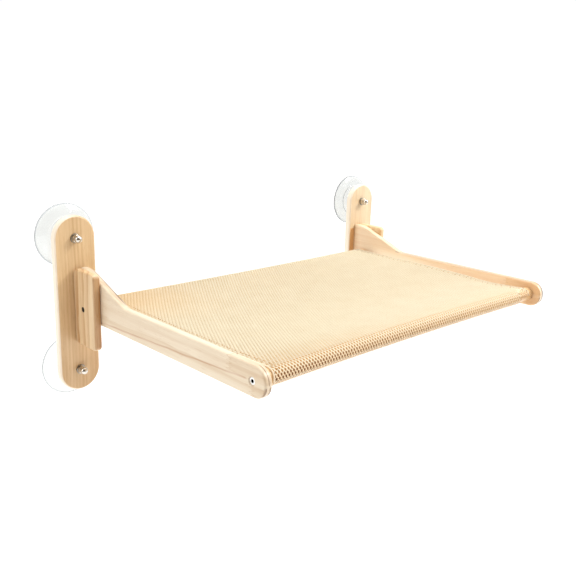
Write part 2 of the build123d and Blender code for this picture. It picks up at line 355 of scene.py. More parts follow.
def eased(outline: Sequence[Point], ease: float, steps: int = 4, most_share: float = 0.45) -> Array:
    """Outline whose inner corners are rounded: each corner becomes a quadratic curve between its two sides.

    Args:
        outline: Corners of an open outline.
        ease: Length that the curve takes from each side.
        steps: Count of spans in a curve.
        most_share: Share of a side that a curve takes at most.

    Returns:
        The rounded outline's points.
    """
    corner = np.asarray(outline, float)
    runs = np.linalg.norm(np.diff(corner, axis=0), axis=1)
    share = np.linspace(0, 1, steps + 1)[:, None]
    made = [corner[:1]]
    for k in range(1, len(corner) - 1):
        before, after = corner[k - 1] - corner[k], corner[k + 1] - corner[k]
        start = corner[k] + before * min(ease / runs[k - 1], most_share)
        end = corner[k] + after * min(ease / runs[k], most_share)
        made.append((1 - share) ** 2 * start + 2 * share * (1 - share) * corner[k] + share**2 * end)
    return np.concatenate([*made, corner[-1:]])


def arc(start: Point, end: Point, rise: float, steps: int) -> Array:
    """Parabola over a chord: its distance from the chord is four times rise, share and the rest of the share.

    Args:
        start: First point.
        end: Last point.
        rise: Distance of its middle from the chord, to the left.
        steps: Count of spans.

    Returns:
        The points, one row each.
    """
    a, b = np.asarray(start, float), np.asarray(end, float)
    share = np.linspace(0, 1, steps + 1)[:, None]
    normal = np.array([a[1] - b[1], b[0] - a[0]]) / np.linalg.norm(b - a)
    return a + (b - a) * share + normal * (4 * rise) * share * (1 - share)


def placed(points: Array, origin: Sequence[float], towards: Sequence[float]) -> Array:
    """Points moved so that local Z runs along a row axis from an origin.

    Args:
        points: Local places, one row each.
        origin: Place of the local origin.
        towards: Unit direction of local Z, along X or Y.

    Returns:
        The places, one row each.
    """
    z = np.asarray(towards, float)
    x = np.array([0.0, 1.0, 0.0]) if z[0] else np.array([1.0, 0.0, 0.0])
    return points @ np.stack([x, np.cross(z, x), z]) + np.asarray(origin, float)


def hexagon(across_flats: float, angle: Array) -> Array:
    """Distance from a hexagon's middle to its side at each angle: half its flats over a cosine."""
    sixth = TURN / 6
    return across_flats / 2 / np.cos((angle + sixth / 2) % sixth - sixth / 2)


def thick_sheet(name: str, outer: Array, inner: Array, flat: Array) -> bpy.types.Object:
    """Closed sheet between two grids of points of one shape, with rims along its four edges.

    Args:
        name: Name of the piece.
        outer: Grid of places on one side.
        inner: Grid of places on the other side.
        flat: Flat place of each point of a grid.

    Returns:
        The linked sheet.
    """
    rows, columns = outer.shape[:2]
    count = rows * columns
    number = np.arange(count).reshape(rows, columns)
    rim = np.concatenate([number[0], number[1:, -1], number[-1, -2::-1], number[-2:0:-1, 0]])
    beside = np.roll(rim, -1)
    quads = grid_faces(rows, columns)
    rims = np.stack([rim, rim + count, beside + count, beside], -1)
    points = np.concatenate([outer.reshape(-1, 3), inner.reshape(-1, 3)])
    faces = np.concatenate([quads, quads[:, ::-1] + count, rims])
    return make_object(name, points, outward(points, [faces]), np.concatenate([flat.reshape(-1, 2)] * 2))


def beads(middles: Array, along: Array, up: Array, length: float, width: float) -> tuple[Array, Array]:
    """Small rounded stitches, each a six-sided capsule that lies on the cloth.

    A capsule's radius follows the square root of one minus the fourth power of its place along it.

    Args:
        middles: Middle of each stitch.
        along: Unit direction of each stitch.
        up: Unit direction away from the cloth at each stitch.
        length: Length of a stitch.
        width: Width of its thread.

    Returns:
        The points and their quads.
    """
    rings, sides, end_share = 5, 6, 0.98
    place = np.linspace(-end_share, end_share, rings)
    swell = np.sqrt(1 - place**4)[:, None] * width / 2
    angle = round_angles(sides)
    local = np.stack(np.broadcast_arrays(
        place[:, None] * length / 2, swell * np.cos(angle), swell * np.sin(angle)), -1).reshape(-1, 3)
    axes = np.stack([along, np.cross(up, along), up], 1)
    points = np.einsum("pk,nkc->npc", local, axes) + middles[:, None]
    cap = np.array([[0, 1, 2, 3], [0, 3, 4, 5]])
    last = (rings - 1) * sides
    quads = np.concatenate([grid_faces(rings, sides, ring=True)[:, ::-1], cap, last + cap[:, ::-1]])
    shift = np.arange(len(middles))[:, None, None] * len(local)
    return points.reshape(-1, 3), (quads[None] + shift).reshape(-1, 4)


# Finishes


class Value:
    """Output of a node. Arithmetic with it adds nodes to its net."""

    def __init__(self, net: "NodeNet", socket: bpy.types.NodeSocket) -> None:
        """Takes the net and the output."""
        self.net, self.socket = net, socket

    def __add__(self, other: object) -> "Value":
        """This value plus another."""
        return self.net.math("ADD", self, other)

    def __sub__(self, other: object) -> "Value":
        """This value less another."""
        return self.net.math("SUBTRACT", self, other)

    def __rsub__(self, other: object) -> "Value":
        """Another value less this one."""
        return self.net.math("SUBTRACT", other, self)

    def __mul__(self, other: object) -> "Value":
        """This value times another."""
        return self.net.math("MULTIPLY", self, other)

    def __abs__(self) -> "Value":
        """This value without its sign."""
        return self.net.math("ABSOLUTE", self)

    def spread(self, weight: float) -> "Value":
        """Noise moved to an average of 0 and multiplied by a weight."""
        return (self - 0.5) * weight


class NodeNet:
    """Node tree that is put together from short calls."""

    def __init__(self, tree: bpy.types.NodeTree) -> None:
        """Takes the tree that the nodes go into."""
        self.tree = tree

    def feed(self, socket: bpy.types.NodeSocket, value: object) -> None:
        """Links a socket to a value, or sets it.

        Args:
            socket: Input of a node.
            value: Value to link, or the input's setting.
        """
        if isinstance(value, Value):
            self.tree.links.new(value.socket, socket)
        else:
            socket.default_value = value

    def node(self, kind: str, inputs: dict, **settings: object) -> bpy.types.Node:
        """New node with its settings made and its inputs fed.

        Args:
            kind: Type of the shader node.
            inputs: What each input takes.
            settings: Settings of the node.

        Returns:
            The node.
        """
        made = self.tree.nodes.new("ShaderNode" + kind)
        for key, setting in settings.items():
            setattr(made, key, setting)
        for key, value in inputs.items():
            self.feed(made.inputs[key], value)
        return made

    def value(self, kind: str, inputs: dict, output: int | str = 0, **settings: object) -> Value:
        """One output of a new node."""
        return Value(self, self.node(kind, inputs, **settings).outputs[output])

    def math(self, operation: str, a: object, b: object = 0.0, clamp: bool = False) -> Value:
        """Result of one sum of two values."""
        return self.value("Math", {0: a, 1: b}, operation=operation, use_clamp=clamp)

    def step(self, value: object, low: float, high: float, smooth: bool = True) -> Value:
        """Value taken from 0 at low to 1 at high; low may be the larger.

        Args:
            value: Value to judge.
            low: Where the share is 0.
            high: Where it is 1.
            smooth: Whether it starts and ends softly.

        Returns:
            The share.
        """
        kind = "SMOOTHSTEP" if smooth else "LINEAR"
        ranged = {"Value": value, "From Min": min(low, high), "From Max": max(low, high)}
        if low > high:
            ranged |= {"To Min": 1.0, "To Max": 0.0}
        return self.value("MapRange", ranged, "Result", interpolation_type=kind)

    def axes(self, output: str = "Object") -> dict[str, Value]:
        """Coordinates of the surface, as X, Y and Z."""
        split = self.node("SeparateXYZ", {0: self.value("TexCoord", {}, output)})
        return {key: Value(self, split.outputs[key]) for key in "XYZ"}

    def vector(self, x: object, y: object, z: object = 0.0) -> Value:
        """Vector of three values."""
        return self.value("CombineXYZ", {0: x, 1: y, 2: z})

    def length(self, x: object, y: object) -> Value:
        """Length of the vector of two values."""
        return self.value("VectorMath", {0: self.vector(x, y)}, "Value", operation="LENGTH")

    def noise(self, place: object, scale: float, detail: float = 2.0, rough: float = 0.5) -> Value:
        """Noise from 0 to 1, about 0.5 on average."""
        inputs = {"Vector": place, "Scale": scale, "Detail": detail, "Roughness": rough}
        return self.value("TexNoise", inputs, "Fac")

    def kept(self, name: str) -> Value:
        """Number that keep_values() left on the piece under a name."""
        return self.value("Attribute", {}, "Fac", attribute_name=name)

    def mix(self, share: object, a: object, b: object) -> Value:
        """Colour between two colours."""
        return self.value("Mix", {0: share, 6: a, 7: b}, 2, data_type="RGBA")

    def blend(self, share: object, pair: Pair) -> Value:
        """Colour between the two display colours of a pair."""
        return self.mix(share, *(shade(*colour) for colour in pair))


class Recipe(NodeNet):
    """Node tree of one finish."""

    def __init__(self, name: str) -> None:
        """Starts an empty finish round one principled shader.

        Args:
            name: Name of the finish.
        """
        self.material = bpy.data.materials.new(name)
        self.material.use_nodes = True
        super().__init__(self.material.node_tree)
        self.shader = self.tree.nodes["Principled BSDF"]

    def bump(self, height: object, distance: float, strength: float = 1.0) -> None:
        """Gives the shader a normal from a height."""
        inputs = {"Height": height, "Distance": distance, "Strength": strength}
        self.feed(self.shader.inputs["Normal"], self.value("Bump", inputs))

    def finish(self, colour: object, roughness: object, **constants: object) -> Material:
        """Sets the shader's colour, roughness and constant sockets, and returns the material.

        Args:
            colour: Base colour.
            roughness: Roughness.
            constants: Other sockets, spelled with underscores.

        Returns:
            The material.
        """
        self.feed(self.shader.inputs["Base Color"], colour)
        self.feed(self.shader.inputs["Roughness"], roughness)
        for key, value in constants.items():
            self.shader.inputs[key.replace("_", " ").title().replace("Ior", "IOR")].default_value = value
        return self.material


def shade(red: float, green: float, blue: float) -> tuple[float, float, float, float]:
    """Colour of a shader from a display colour.

    Args:
        red: Red part.
        green: Green part.
        blue: Blue part.

    Returns:
        Linear red, green and blue, and an alpha of 1.
    """
    def linear(value: float) -> float:
        """Light of one display value."""
        part = value / 255
        return part / 12.92 if part <= 0.04045 else ((part + 0.055) / 1.055) ** 2.4
    return (linear(red), linear(green), linear(blue), 1.0)


@dataclass(frozen=True)
class Wood:
    """What the features of a board read: places by the grain, its fine streaks and its slow patches."""

    along: Value
    across: Value
    through: Value
    streak: Value
    patch: Value


class Feature:
    """Something on a board that changes its tone or its colour. By itself it changes neither."""

    def toned(self, r: Recipe, wood: Wood, tone: Value) -> Value:
        """Tone of the board with this feature."""
        return tone

    def painted(self, r: Recipe, wood: Wood, colour: Value) -> Value:
        """Colour of the board with this feature."""
        return colour


@dataclass(frozen=True)
class Seam(Feature):
    """Glue line of a board: a thin dark streak along the grain that climbs a little and fades at its end."""

    start: float
    height: float
    climb: float
    end: float
    width: float = 1.8 * MM
    wander: float = 3 * MM
    wander_scale: float = 22.0
    breaks: Span = (0.2, 0.6)
    end_soft: float = 6 * MM
    colour: Colour = (176, 122, 74)
    share: float = 0.75

    def painted(self, r: Recipe, wood: Wood, colour: Value) -> Value:
        """Colour with the line, which wanders with a slow noise and breaks with the wood's streaks.

        Args:
            r: Recipe that takes the nodes.
            wood: Grain of the board.
            colour: Colour so far.

        Returns:
            Colour with the line.
        """
        line = (wood.along - self.start) * self.climb + self.height
        wander = r.noise(r.vector(wood.along, 0.0), self.wander_scale).spread(self.wander)
        off = abs(wood.across - line - wander)
        near = r.step(off, self.width, 0.0) * r.step(wood.streak, *self.breaks)
        near = near * r.step(wood.along, self.end, self.end + self.end_soft)
        return r.mix(near * self.share, colour, shade(*self.colour))


@dataclass(frozen=True)
class Mark(Feature):
    """Spot of a board, given by its spans along and across the grain and through the board.

    Its edges are soft over one distance, and its ends along the grain over another where one is given.
    """

    along: Span
    across: Span
    through: Span
    soft: float = 0.4 * MM
    colour: Colour = (122, 80, 46)
    share: float = 1.0
    end_soft: float | None = None
    uneven: Span = (0.25, 0.55)

    def painted(self, r: Recipe, wood: Wood, colour: Value) -> Value:
        """Colour with the spot, which is weaker on the wood's paler patches.

        Args:
            r: Recipe that takes the nodes.
            wood: Grain of the board.
            colour: Colour so far.

        Returns:
            Colour with the spot.
        """
        near = r.step(wood.patch, *self.uneven) * self.share
        spans = (
            (wood.along, self.along, self.end_soft or self.soft),
            (wood.across, self.across, self.soft),
            (wood.through, self.through, self.soft),
        )
        for place, (low, high), soft in spans:
            near = near * r.step(place, low - soft, low + soft) * r.step(place, high + soft, high - soft)
        return r.mix(near, colour, shade(*self.colour))


@dataclass(frozen=True)
class FingerJoint(Feature):
    """Zigzag joint across a strip of a board, between two heights, with darker wood past it."""

    at: float
    low: float
    high: float
    reach: float = 4.0 * MM
    pitch: float = 4.6 * MM
    soft: float = MM
    tone: float = 0.2
    line: Span = (1.1 * MM, 0.3 * MM)
    colour: Colour = (188, 150, 105)
    share: float = 0.5

    def strip(self, r: Recipe, wood: Wood) -> Value:
        """Share of the strip at a place: 1 between its heights."""
        above = r.step(wood.across, self.low, self.low + self.soft)
        return above * r.step(wood.across, self.high + self.soft, self.high)

    def toned(self, r: Recipe, wood: Wood, tone: Value) -> Value:
        """Tone with the darker wood."""
        past = r.step(wood.along, self.at + self.soft, self.at - self.soft)
        return tone + past * self.strip(r, wood) * self.tone

    def painted(self, r: Recipe, wood: Wood, colour: Value) -> Value:
        """Colour with the zigzag, whose tips are worked out from a wave that rises and falls evenly.

        Args:
            r: Recipe that takes the nodes.
            wood: Grain of the board.
            colour: Colour so far.

        Returns:
            Colour with the zigzag.
        """
        tip = r.math("PINGPONG", wood.across * (2 / self.pitch), 1.0).spread(2 * self.reach)
        near = r.step(abs(wood.along - self.at - tip), *self.line) * self.strip(r, wood)
        return r.mix(near * self.share, colour, shade(*self.colour))


@dataclass(frozen=True)
class LitEdge(Feature):
    """Painted light on the left edge of a board with half-round ends.

    It is given by the middle and the half length of the board's straight part and by the radius of its ends.
    """

    middle: float
    half_run: float
    radius: float
    width: float = 1.8 * MM
    soft: float = 0.5 * MM
    turn: float = 12 * MM
    colour: Colour = (248, 236, 218)
    share: float = 0.85

    def painted(self, r: Recipe, wood: Wood, colour: Value) -> Value:
        """Colour with the painted light on the edge: the distance from the straight part's middle line comes
        near the radius.

        Args:
            r: Recipe that takes the nodes.
            wood: Grain of the board.
            colour: Colour so far.

        Returns:
            Colour with the painted light.
        """
        off = wood.across - self.middle
        beyond = r.math("MAXIMUM", abs(wood.along) - self.half_run, 0.0)
        inner = self.radius - self.width
        near = r.step(r.length(off, beyond), inner - self.soft, inner + self.soft)
        near = near * r.step(off, self.turn, -self.turn)
        return r.mix(near * self.share, colour, shade(*self.colour))


@dataclass(frozen=True)
class FaceShade(Feature):
    """Painted shade on a face across the board, whole near the face and ending at its reach."""

    at: float
    tone: float
    reach: float = 2.4 * MM
    whole: float = 0.6 * MM

    def toned(self, r: Recipe, wood: Wood, tone: Value) -> Value:
        """Tone with the face's painted shade."""
        return tone + r.step(abs(wood.across - self.at), self.reach, self.whole) * self.tone


@dataclass(frozen=True)
class Fade(Feature):
    """Slow darkening along a board: where it begins, where it is whole, and the tone that it adds there."""

    start: float
    end: float
    tone: float

    def toned(self, r: Recipe, wood: Wood, tone: Value) -> Value:
        """Tone with the darkening."""
        return tone + r.step(wood.along, self.start, self.end) * self.tone


@dataclass(frozen=True)
class GrainNoise:
    """Noise that is drawn out along the grain: it reads only a share of the place along it."""

    along_share: float
    scale: float
    detail: float = 2.0
    rough: float = 0.5

    def over(self, r: Recipe, along: Value, across: Value, through: Value) -> Value:
        """The noise over a board."""
        place = r.vector(along * self.along_share, across, through)
        return r.noise(place, self.scale, self.detail, self.rough)


@dataclass(frozen=True)
class PineFinish:
    """Varnished pine: growth rings round a far pith, fine fibres, patches of tone and the board's features.

    The ring number is the distance from the pith line, bent by slow noise, over the ring width. A ring's late
    wood darkens slowly and ends at once. Tones are the light and the dark one.
    """

    node: str
    grain: Grain
    pith: Point
    tones: Pair
    seed: float
    contrast: float
    ring_width: float = 4.2 * MM
    features: tuple[Feature, ...] = ()
    sway: float = 0.012
    slow: GrainNoise = GrainNoise(0.35, 9.0, 1.0)
    ripple: GrainNoise = GrainNoise(0.12, 110.0)
    ripple_rings: float = 0.9
    late_rise: Span = (0.3, 0.92)
    late_fall: Span = (1.0, 0.94)
    uneven_scale: float = 0.6
    uneven: Span = (0.3, 0.65)
    streak: GrainNoise = GrainNoise(0.03, 300.0, 2.0, 0.55)
    streak_tone: float = 0.5
    fibre: GrainNoise = GrainNoise(0.03, 1500.0, 3.0, 0.6)
    fibre_tone: float = 0.4
    patch: GrainNoise = GrainNoise(0.3, 30.0)
    patch_tone: float = 0.6
    pores: GrainNoise = GrainNoise(0.06, 1300.0, 1.0)
    pore_range: Span = (0.66, 0.74)
    pore_tone: float = 0.3
    base_tone: float = 0.25
    late_relief: float = 0.4
    relief: float = 0.12 * MM
    relief_strength: float = 0.35
    gloss_range: Span = (-0.3, 1.6)
    roughness: float = 0.85
    coat: float = 0.18
    coat_roughness: float = 0.28

    def material(self) -> Material:
        """Material with this finish.

        Returns:
            The material.
        """
        r = Recipe(f"pine_{self.node}")
        axes = r.axes()
        along, across, through = (axes[key] for key in self.grain.value)
        moved = along + self.seed
        slow, ripple, streak, fibre, patch, pores = (
            layer.over(r, moved, across, through)
            for layer in (self.slow, self.ripple, self.streak, self.fibre, self.patch, self.pores))
        far = r.length(across - self.pith[0] + slow.spread(self.sway), through - self.pith[1])
        number = far * (1 / self.ring_width) + ripple.spread(self.ripple_rings)
        ring = r.math("FRACT", number)
        late = r.step(ring, *self.late_rise) * r.step(ring, *self.late_fall)
        ring_noise = r.noise(r.vector(number * self.uneven_scale, self.seed), 1.0, 1.0)
        tone = late * r.step(ring_noise, *self.uneven) * self.contrast
        weights = (self.streak_tone, self.fibre_tone, self.patch_tone)
        for layer, weight in zip((streak, fibre, patch), weights):
            tone = tone + layer.spread(weight)
        tone = tone + r.step(pores, *self.pore_range) * self.pore_tone
        wood = Wood(along, across, through, streak, patch)
        for feature in self.features:
            tone = feature.toned(r, wood, tone)
        colour = r.blend(r.math("ADD", tone, self.base_tone, clamp=True), self.tones)
        for feature in self.features:
            colour = feature.painted(r, wood, colour)
        r.bump(fibre + late * self.late_relief, self.relief, self.relief_strength)
        rough = r.step(fibre, *self.gloss_range, smooth=False) * self.roughness
        return r.finish(colour, rough, coat_weight=self.coat, coat_roughness=self.coat_roughness)


@dataclass(frozen=True)
class KnitFinish:
    """Knitted polyester: plaited yarn ribs on the flat coordinate, in centimetres, with a soft sheen.

    The plait is the sine of the ribs times the sine of the rows, whose place the ribs bend. Tones are the
    light and the dark one.
    """

    name: str
    tones: Pair
    ribs_per_cm: float = 11.0
    rows_per_cm: float = 14.0
    relief: float = 0.08 * MM
    relief_strength: float = 0.6
    plait_share: float = 0.25
    fuzz_scale: float = 55.0
    fuzz_detail: float = 3.0
    fuzz_rough: float = 0.6
    yarn_range: Span = (0.75, 0.2)
    patch_scale: float = 0.35
    patch_tone: float = 0.5
    roughness: float = 0.82
    sheen: float = 0.06
    sheen_roughness: float = 0.45

    def coloured(self, r: Recipe, x: Value, y: Value, colour: Value) -> Value:
        """Colour with what the knit has besides its yarn, which is nothing here."""
        return colour

    def material(self) -> Material:
        """Material with this finish.

        Returns:
            The material.
        """
        r = Recipe(self.name)
        x, y, _ = r.axes("UV").values()
        ribs = r.math("SINE", x * (TURN * self.ribs_per_cm))
        plait = ribs * r.math("SINE", y * (TURN * self.rows_per_cm) + ribs)
        place = r.vector(x, y)
        fuzz = r.noise(place, self.fuzz_scale, self.fuzz_detail, self.fuzz_rough)
        yarn = plait * self.plait_share + fuzz
        patch = r.noise(place, self.patch_scale).spread(self.patch_tone)
        share = r.math("ADD", r.step(yarn, *self.yarn_range), patch, clamp=True)
        colour = self.coloured(r, x, y, r.blend(share, self.tones))
        r.bump(yarn, self.relief, self.relief_strength)
        return r.finish(colour, self.roughness, sheen_weight=self.sheen, sheen_roughness=self.sheen_roughness)


@dataclass(frozen=True)
class TickedKnit(KnitFinish):
    """Knit with soft darker ticks at an even pitch across the perch."""

    tick_pitch_cm: float = 0.44
    tick_range: Span = (0.1, 0.9)
    tick_share: float = 0.45
    tick: Colour = (182, 150, 118)

    def coloured(self, r: Recipe, x: Value, y: Value, colour: Value) -> Value:
        """Colour with the ticks, which follow a sine."""
        wave = r.math("SINE", x * (TURN / self.tick_pitch_cm))
        return r.mix(r.step(wave, *self.tick_range) * self.tick_share, colour, shade(*self.tick))


@dataclass(frozen=True, kw_only=True)
class BedKnit(KnitFinish):
    """Knit of the bed, with painted warm shade round both dowels and near the front one.

    Each pair of tones is the one on the left and the one on the right. Spans are in centimetres of the flat
    coordinate, from where a tone begins to where it is whole.
    """

    length_cm: float
    half_width_cm: float
    # fold and near are painted warm shade round the dowels and near the front one, as left and right pairs.
    fold: Pair
    fold_share: float
    roll_shade_span: Span = (1.7, 0.6)
    near: Pair = ((186, 138, 78), (224, 190, 142))
    near_share: float = 0.5
    front_shade_span: Span = (8.5, 2.6)
    right_share: float = 0.9

    def places(self, r: Recipe, x: Value, y: Value) -> tuple[Value, Value, Value]:
        """How far a place is to the right, how near the front dowel it is, and how far round a dowel.

        Args:
            r: Recipe that takes the nodes.
            x: Centimetres across the bed.
            y: Centimetres along it.

        Returns:
            The three shares.
        """
        right = r.step(x, -self.half_width_cm, self.right_share * self.half_width_cm, smooth=False)
        from_seam = r.math("MINIMUM", y, self.length_cm - y)
        return right, r.step(y, *self.front_shade_span), r.step(from_seam, *self.roll_shade_span)

    def coloured(self, r: Recipe, x: Value, y: Value, colour: Value) -> Value:
        """Colour with the painted shade near the front dowel and round both.

        Args:
            r: Recipe that takes the nodes.
            x: Centimetres across the bed.
            y: Centimetres along it.
            colour: Colour so far.

        Returns:
            Colour with the painted shade.
        """
        right, near, low = self.places(r, x, y)
        colour = r.mix(near * self.near_share, colour, r.blend(right, self.near))
        return r.mix(low * self.fold_share, colour, r.blend(right, self.fold))


@dataclass(frozen=True, kw_only=True)
class HoledKnit(BedKnit):
    """Holed face of the bed: painted light on the front roll, painted shade in a rear corner and in its
    holes.
    """

    # Painted light on the front of the front roll.
    front_roll_light: Colour = (246, 234, 208)
    front_roll_light_span: Span = (2.3, 1.2)
    front_roll_light_share: float = 0.75
    # Painted warm shade in the rear left corner, next to the left arm's heel.
    corner: Colour = (214, 174, 120)
    corner_shade_x_span: Span = (-8.0, -24.0)
    corner_shade_y_span: Span = (18.0, 32.0)
    corner_share: float = 0.5
    # Painted shade on the walls of the holes, deeper round the dowels and near the front one.
    wall: Colour = (186, 140, 82)
    fold_wall: Pair = ((142, 84, 34), (214, 170, 116))
    wall_range: Span = (0.7, 1.0)
    near_spread: float = 0.25

    def coloured(self, r: Recipe, x: Value, y: Value, colour: Value) -> Value:
        """Colour with the painted light and shade. The painted shade of the walls climbs further out of the
        holes near the front dowel.

        Args:
            r: Recipe that takes the nodes.
            x: Centimetres across the bed.
            y: Centimetres along it.
            colour: Colour so far.

        Returns:
            Colour with the painted light and shade.
        """
        right, near, low = self.places(r, x, y)
        # Painted light on the front roll.
        colour = r.mix(r.step(y, *self.front_roll_light_span) * self.front_roll_light_share, colour, shade(*self.front_roll_light))
        # Painted warm shade in the rear left corner.
        corner = r.step(x, *self.corner_shade_x_span) * r.step(y, *self.corner_shade_y_span)
        colour = r.mix(corner * self.corner_share, colour, shade(*self.corner))
        colour = r.mix(low * self.fold_share, colour, r.blend(right, self.fold))
        # Painted shade in the holes, by how deep a point sinks.
        walls = r.mix(near, shade(*self.wall), r.blend(right, self.near))
        walls = r.mix(low, walls, r.blend(right, self.fold_wall))
        sunk = r.kept(SINK) + near * self.near_spread
        return r.mix(r.step(sunk, *self.wall_range), colour, walls)


@dataclass(frozen=True)
class SocketShade:
    """Painted shade in the hole of a bolt's head, by its middle and its radius."""

    y: float
    z: float
    radius: float = 2.1 * MM
    soft: float = 0.15 * MM
    colour: Colour = (12, 11, 10)


@dataclass(frozen=True)
class MetalFinish:
    """Plated metal with fine rubbed marks and a little dulling in patches."""

    name: str
    colour: Colour
    roughness: float
    marks: float = 0.08
    socket: SocketShade | None = None
    rub_scale: float = 2600.0
    rub_share: float = 0.1
    rub_depth: float = 0.01 * MM
    rub_strength: float = 0.25
    patch_scale: float = 180.0
    patch_detail: float = 3.0
    patch_range: Span = (0.35, 0.8)
    dulling: float = 0.82

    def material(self) -> Material:
        """Material with this finish.

        Returns:
            The material.
        """
        r = Recipe(self.name)
        x, y, z = r.axes().values()
        patch = r.noise(r.vector(x, y, z), self.patch_scale, self.patch_detail)
        bright = shade(*self.colour)
        dull = (*(self.dulling * part for part in bright[:3]), 1.0)
        colour = r.mix(r.step(patch, *self.patch_range), bright, dull)
        rough = patch * self.marks + (self.roughness - self.marks / 2)
        r.bump(r.noise(r.vector(x, y * self.rub_share, z), self.rub_scale), self.rub_depth, self.rub_strength)
        # The socket's hole is painted near black and made rough, as painted shade in the recess.
        if self.socket:
            off = r.length(y - self.socket.y, z - self.socket.z)
            socket_shade = r.step(off, self.socket.radius, self.socket.radius - self.socket.soft)
            colour = r.mix(socket_shade, colour, shade(*self.socket.colour))
            rough = r.math("ADD", rough, socket_shade, clamp=True)
        return r.finish(colour, rough, metallic=1.0)


@dataclass(frozen=True)
class VinylFinish:
    """Clear soft vinyl with faint flow ripples, a slight grey tint and a darker lip."""

    name: str
    tones: Pair = ((243, 245, 243), (237, 240, 238))
    lip: Colour = (176, 184, 190)
    ripple_scale: float = 60.0
    ripple_depth: float = 0.15 * MM
    ripple_strength: float = 0.15
    haze_scale: float = 240.0
    haze_roughness: float = 0.05
    roughness: float = 0.02
    clearness: float = 0.96
    refraction: float = 1.42

    def material(self) -> Material:
        """Material with this finish.

        Returns:
            The material.
        """
        r = Recipe(self.name)
        place = r.vector(*r.axes().values())
        haze = r.noise(place, self.haze_scale)
        r.bump(r.noise(place, self.ripple_scale), self.ripple_depth, self.ripple_strength)
        colour = r.mix(r.kept(LIP), r.blend(haze, self.tones), shade(*self.lip))
        rough = haze * self.haze_roughness + self.roughness
        return r.finish(colour, rough, transmission_weight=self.clearness, ior=self.refraction)


def dress(piece: bpy.types.Object, material: Material, body: str = ROOT,
          nodes: Sequence[str] = ()) -> bpy.types.Object:
    """Gives a piece its finish and its body, hides the CAD nodes that it stands for, and logs it.

    Args:
        piece: The piece.
        material: Material that takes the place of those it has.
        body: Body that the piece rides on.
        nodes: CAD nodes that the piece replaces.

    Returns:
        The piece.
    """
    piece.data.materials.clear()
    piece.data.materials.append(material)
    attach(piece, body)
    if nodes:
        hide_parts(*nodes)
    log.info("%s: %d points on %s", piece.name, len(piece.data.vertices), body)
    return piece


# Boards


@dataclass(frozen=True)
class ArmMarks:
    """Spots of the arms.

    A reach and the edge's start run from the nose, a drop from the rail's top and an inset from a face. The
    low bands' spans and the slope's band run from the board's middle, and the slope's line from its right
    face.
    """

    over: float = MM
    rise: float = 31.5 * MM
    line_reach: float = 15 * MM
    line_half_width: float = 0.4 * MM
    low_band_reach: float = 9 * MM
    low_band_heights: Span = (-12 * MM, -2 * MM)
    low_band_spans: tuple[Span, Span] = ((-4.2 * MM, -2.4 * MM), (1.2 * MM, 3.2 * MM))
    low_band_share: float = 0.8
    slope_run: Span = (-118 * MM, -46 * MM)
    slope_foot: float = 2 * MM
    slope_end_soft: float = 14 * MM
    slope_line: Span = (-3.2 * MM, -0.6 * MM)
    slope_line_colour: Colour = (104, 72, 46)
    slope_band: Span = (-2.2 * MM, 1.6 * MM)
    slope_band_colour: Colour = (214, 156, 122)
    slope_band_share: float = 0.6
    # Painted highlight on the right arm's nose.
    nose_light_reach: float = 15 * MM
    nose_light_insets: tuple[float, float] = (1.8 * MM, 4.6 * MM)
    nose_light_drop: float = 3 * MM
    nose_light_colour: Colour = (244, 226, 198)
    # Painted shade beside the right arm's nose.
    shade_reach: float = 17 * MM
    shade_drop: float = MM
    shade_inset: float = 4.2 * MM
    shade_colour: Colour = (124, 112, 96)
    edge_start: float = 12 * MM
    edge_drop: float = 0.7 * MM
    edge_soft: float = 0.5 * MM
    edge_colour: Colour = (190, 168, 142)
    line_soft: float = 0.6 * MM
    wide_soft: float = MM
    strong_share: float = 0.9

    def both(self, low: Vector, high: Vector) -> tuple[Mark, ...]:
        """Glue line and two dark bands low in the nose of either arm.

        Args:
            low: Low corner of the arm's box.
            high: High corner of it.

        Returns:
            The three marks.
        """
        middle, nose = (low.x + high.x) / 2, low.y
        line = Mark((nose - self.over, nose + self.line_reach), (0.0, high.z - self.rise),
                    (middle - self.line_half_width, middle + self.line_half_width))
        low_bands = (
            Mark((nose - self.over, nose + self.low_band_reach), self.low_band_heights,
                 (middle + start, middle + end), self.wide_soft, share=self.low_band_share)
            for start, end in self.low_band_spans)
        return (line, *low_bands)

    def left(self, low: Vector, high: Vector) -> tuple[Mark, ...]:
        """Dark line and pink band on the left arm's slope.

        Args:
            low: Low corner of the arm's box.
            high: High corner of it.

        Returns:
            The two marks.
        """
        middle = (low.x + high.x) / 2
        heights = (high.z - self.rise + self.slope_foot, high.z + self.over)
        line, band = self.slope_line, self.slope_band
        return (
            Mark(self.slope_run, heights, (high.x + line[0], high.x + line[1]), self.line_soft,
                 self.slope_line_colour, self.strong_share, self.slope_end_soft),
            Mark(self.slope_run, heights, (middle + band[0], middle + band[1]), self.wide_soft,
                 self.slope_band_colour, self.slope_band_share, self.slope_end_soft),
        )

    def right(self, low: Vector, high: Vector) -> tuple[Mark, ...]:
        """Painted highlight on the right arm's nose, the painted shade beside it and the line along the
        rail's edge.

        Args:
            low: Low corner of the arm's box.
            high: High corner of it.

        Returns:
            The three marks.
        """
        nose, rail, foot = low.y, high.z - self.rise, low.z - self.over
        inset, far_inset = self.nose_light_insets
        return (
            # Painted highlight on the front of the nose.
            Mark((nose - self.over, nose + self.nose_light_reach), (foot, rail - self.nose_light_drop),
                 (low.x + inset, high.x - far_inset), self.line_soft, self.nose_light_colour, self.strong_share),
            # Painted shade beside it.
            Mark((nose - self.over, nose + self.shade_reach), (foot, rail - self.shade_drop),
                 (high.x - self.shade_inset, high.x + self.over), self.line_soft, self.shade_colour),
            Mark((nose + self.edge_start, self.slope_run[0]), (rail - self.edge_drop, rail + self.over),
                 (low.x - self.over, high.x + self.over), self.edge_soft, self.edge_colour,
                 self.strong_share),
        )


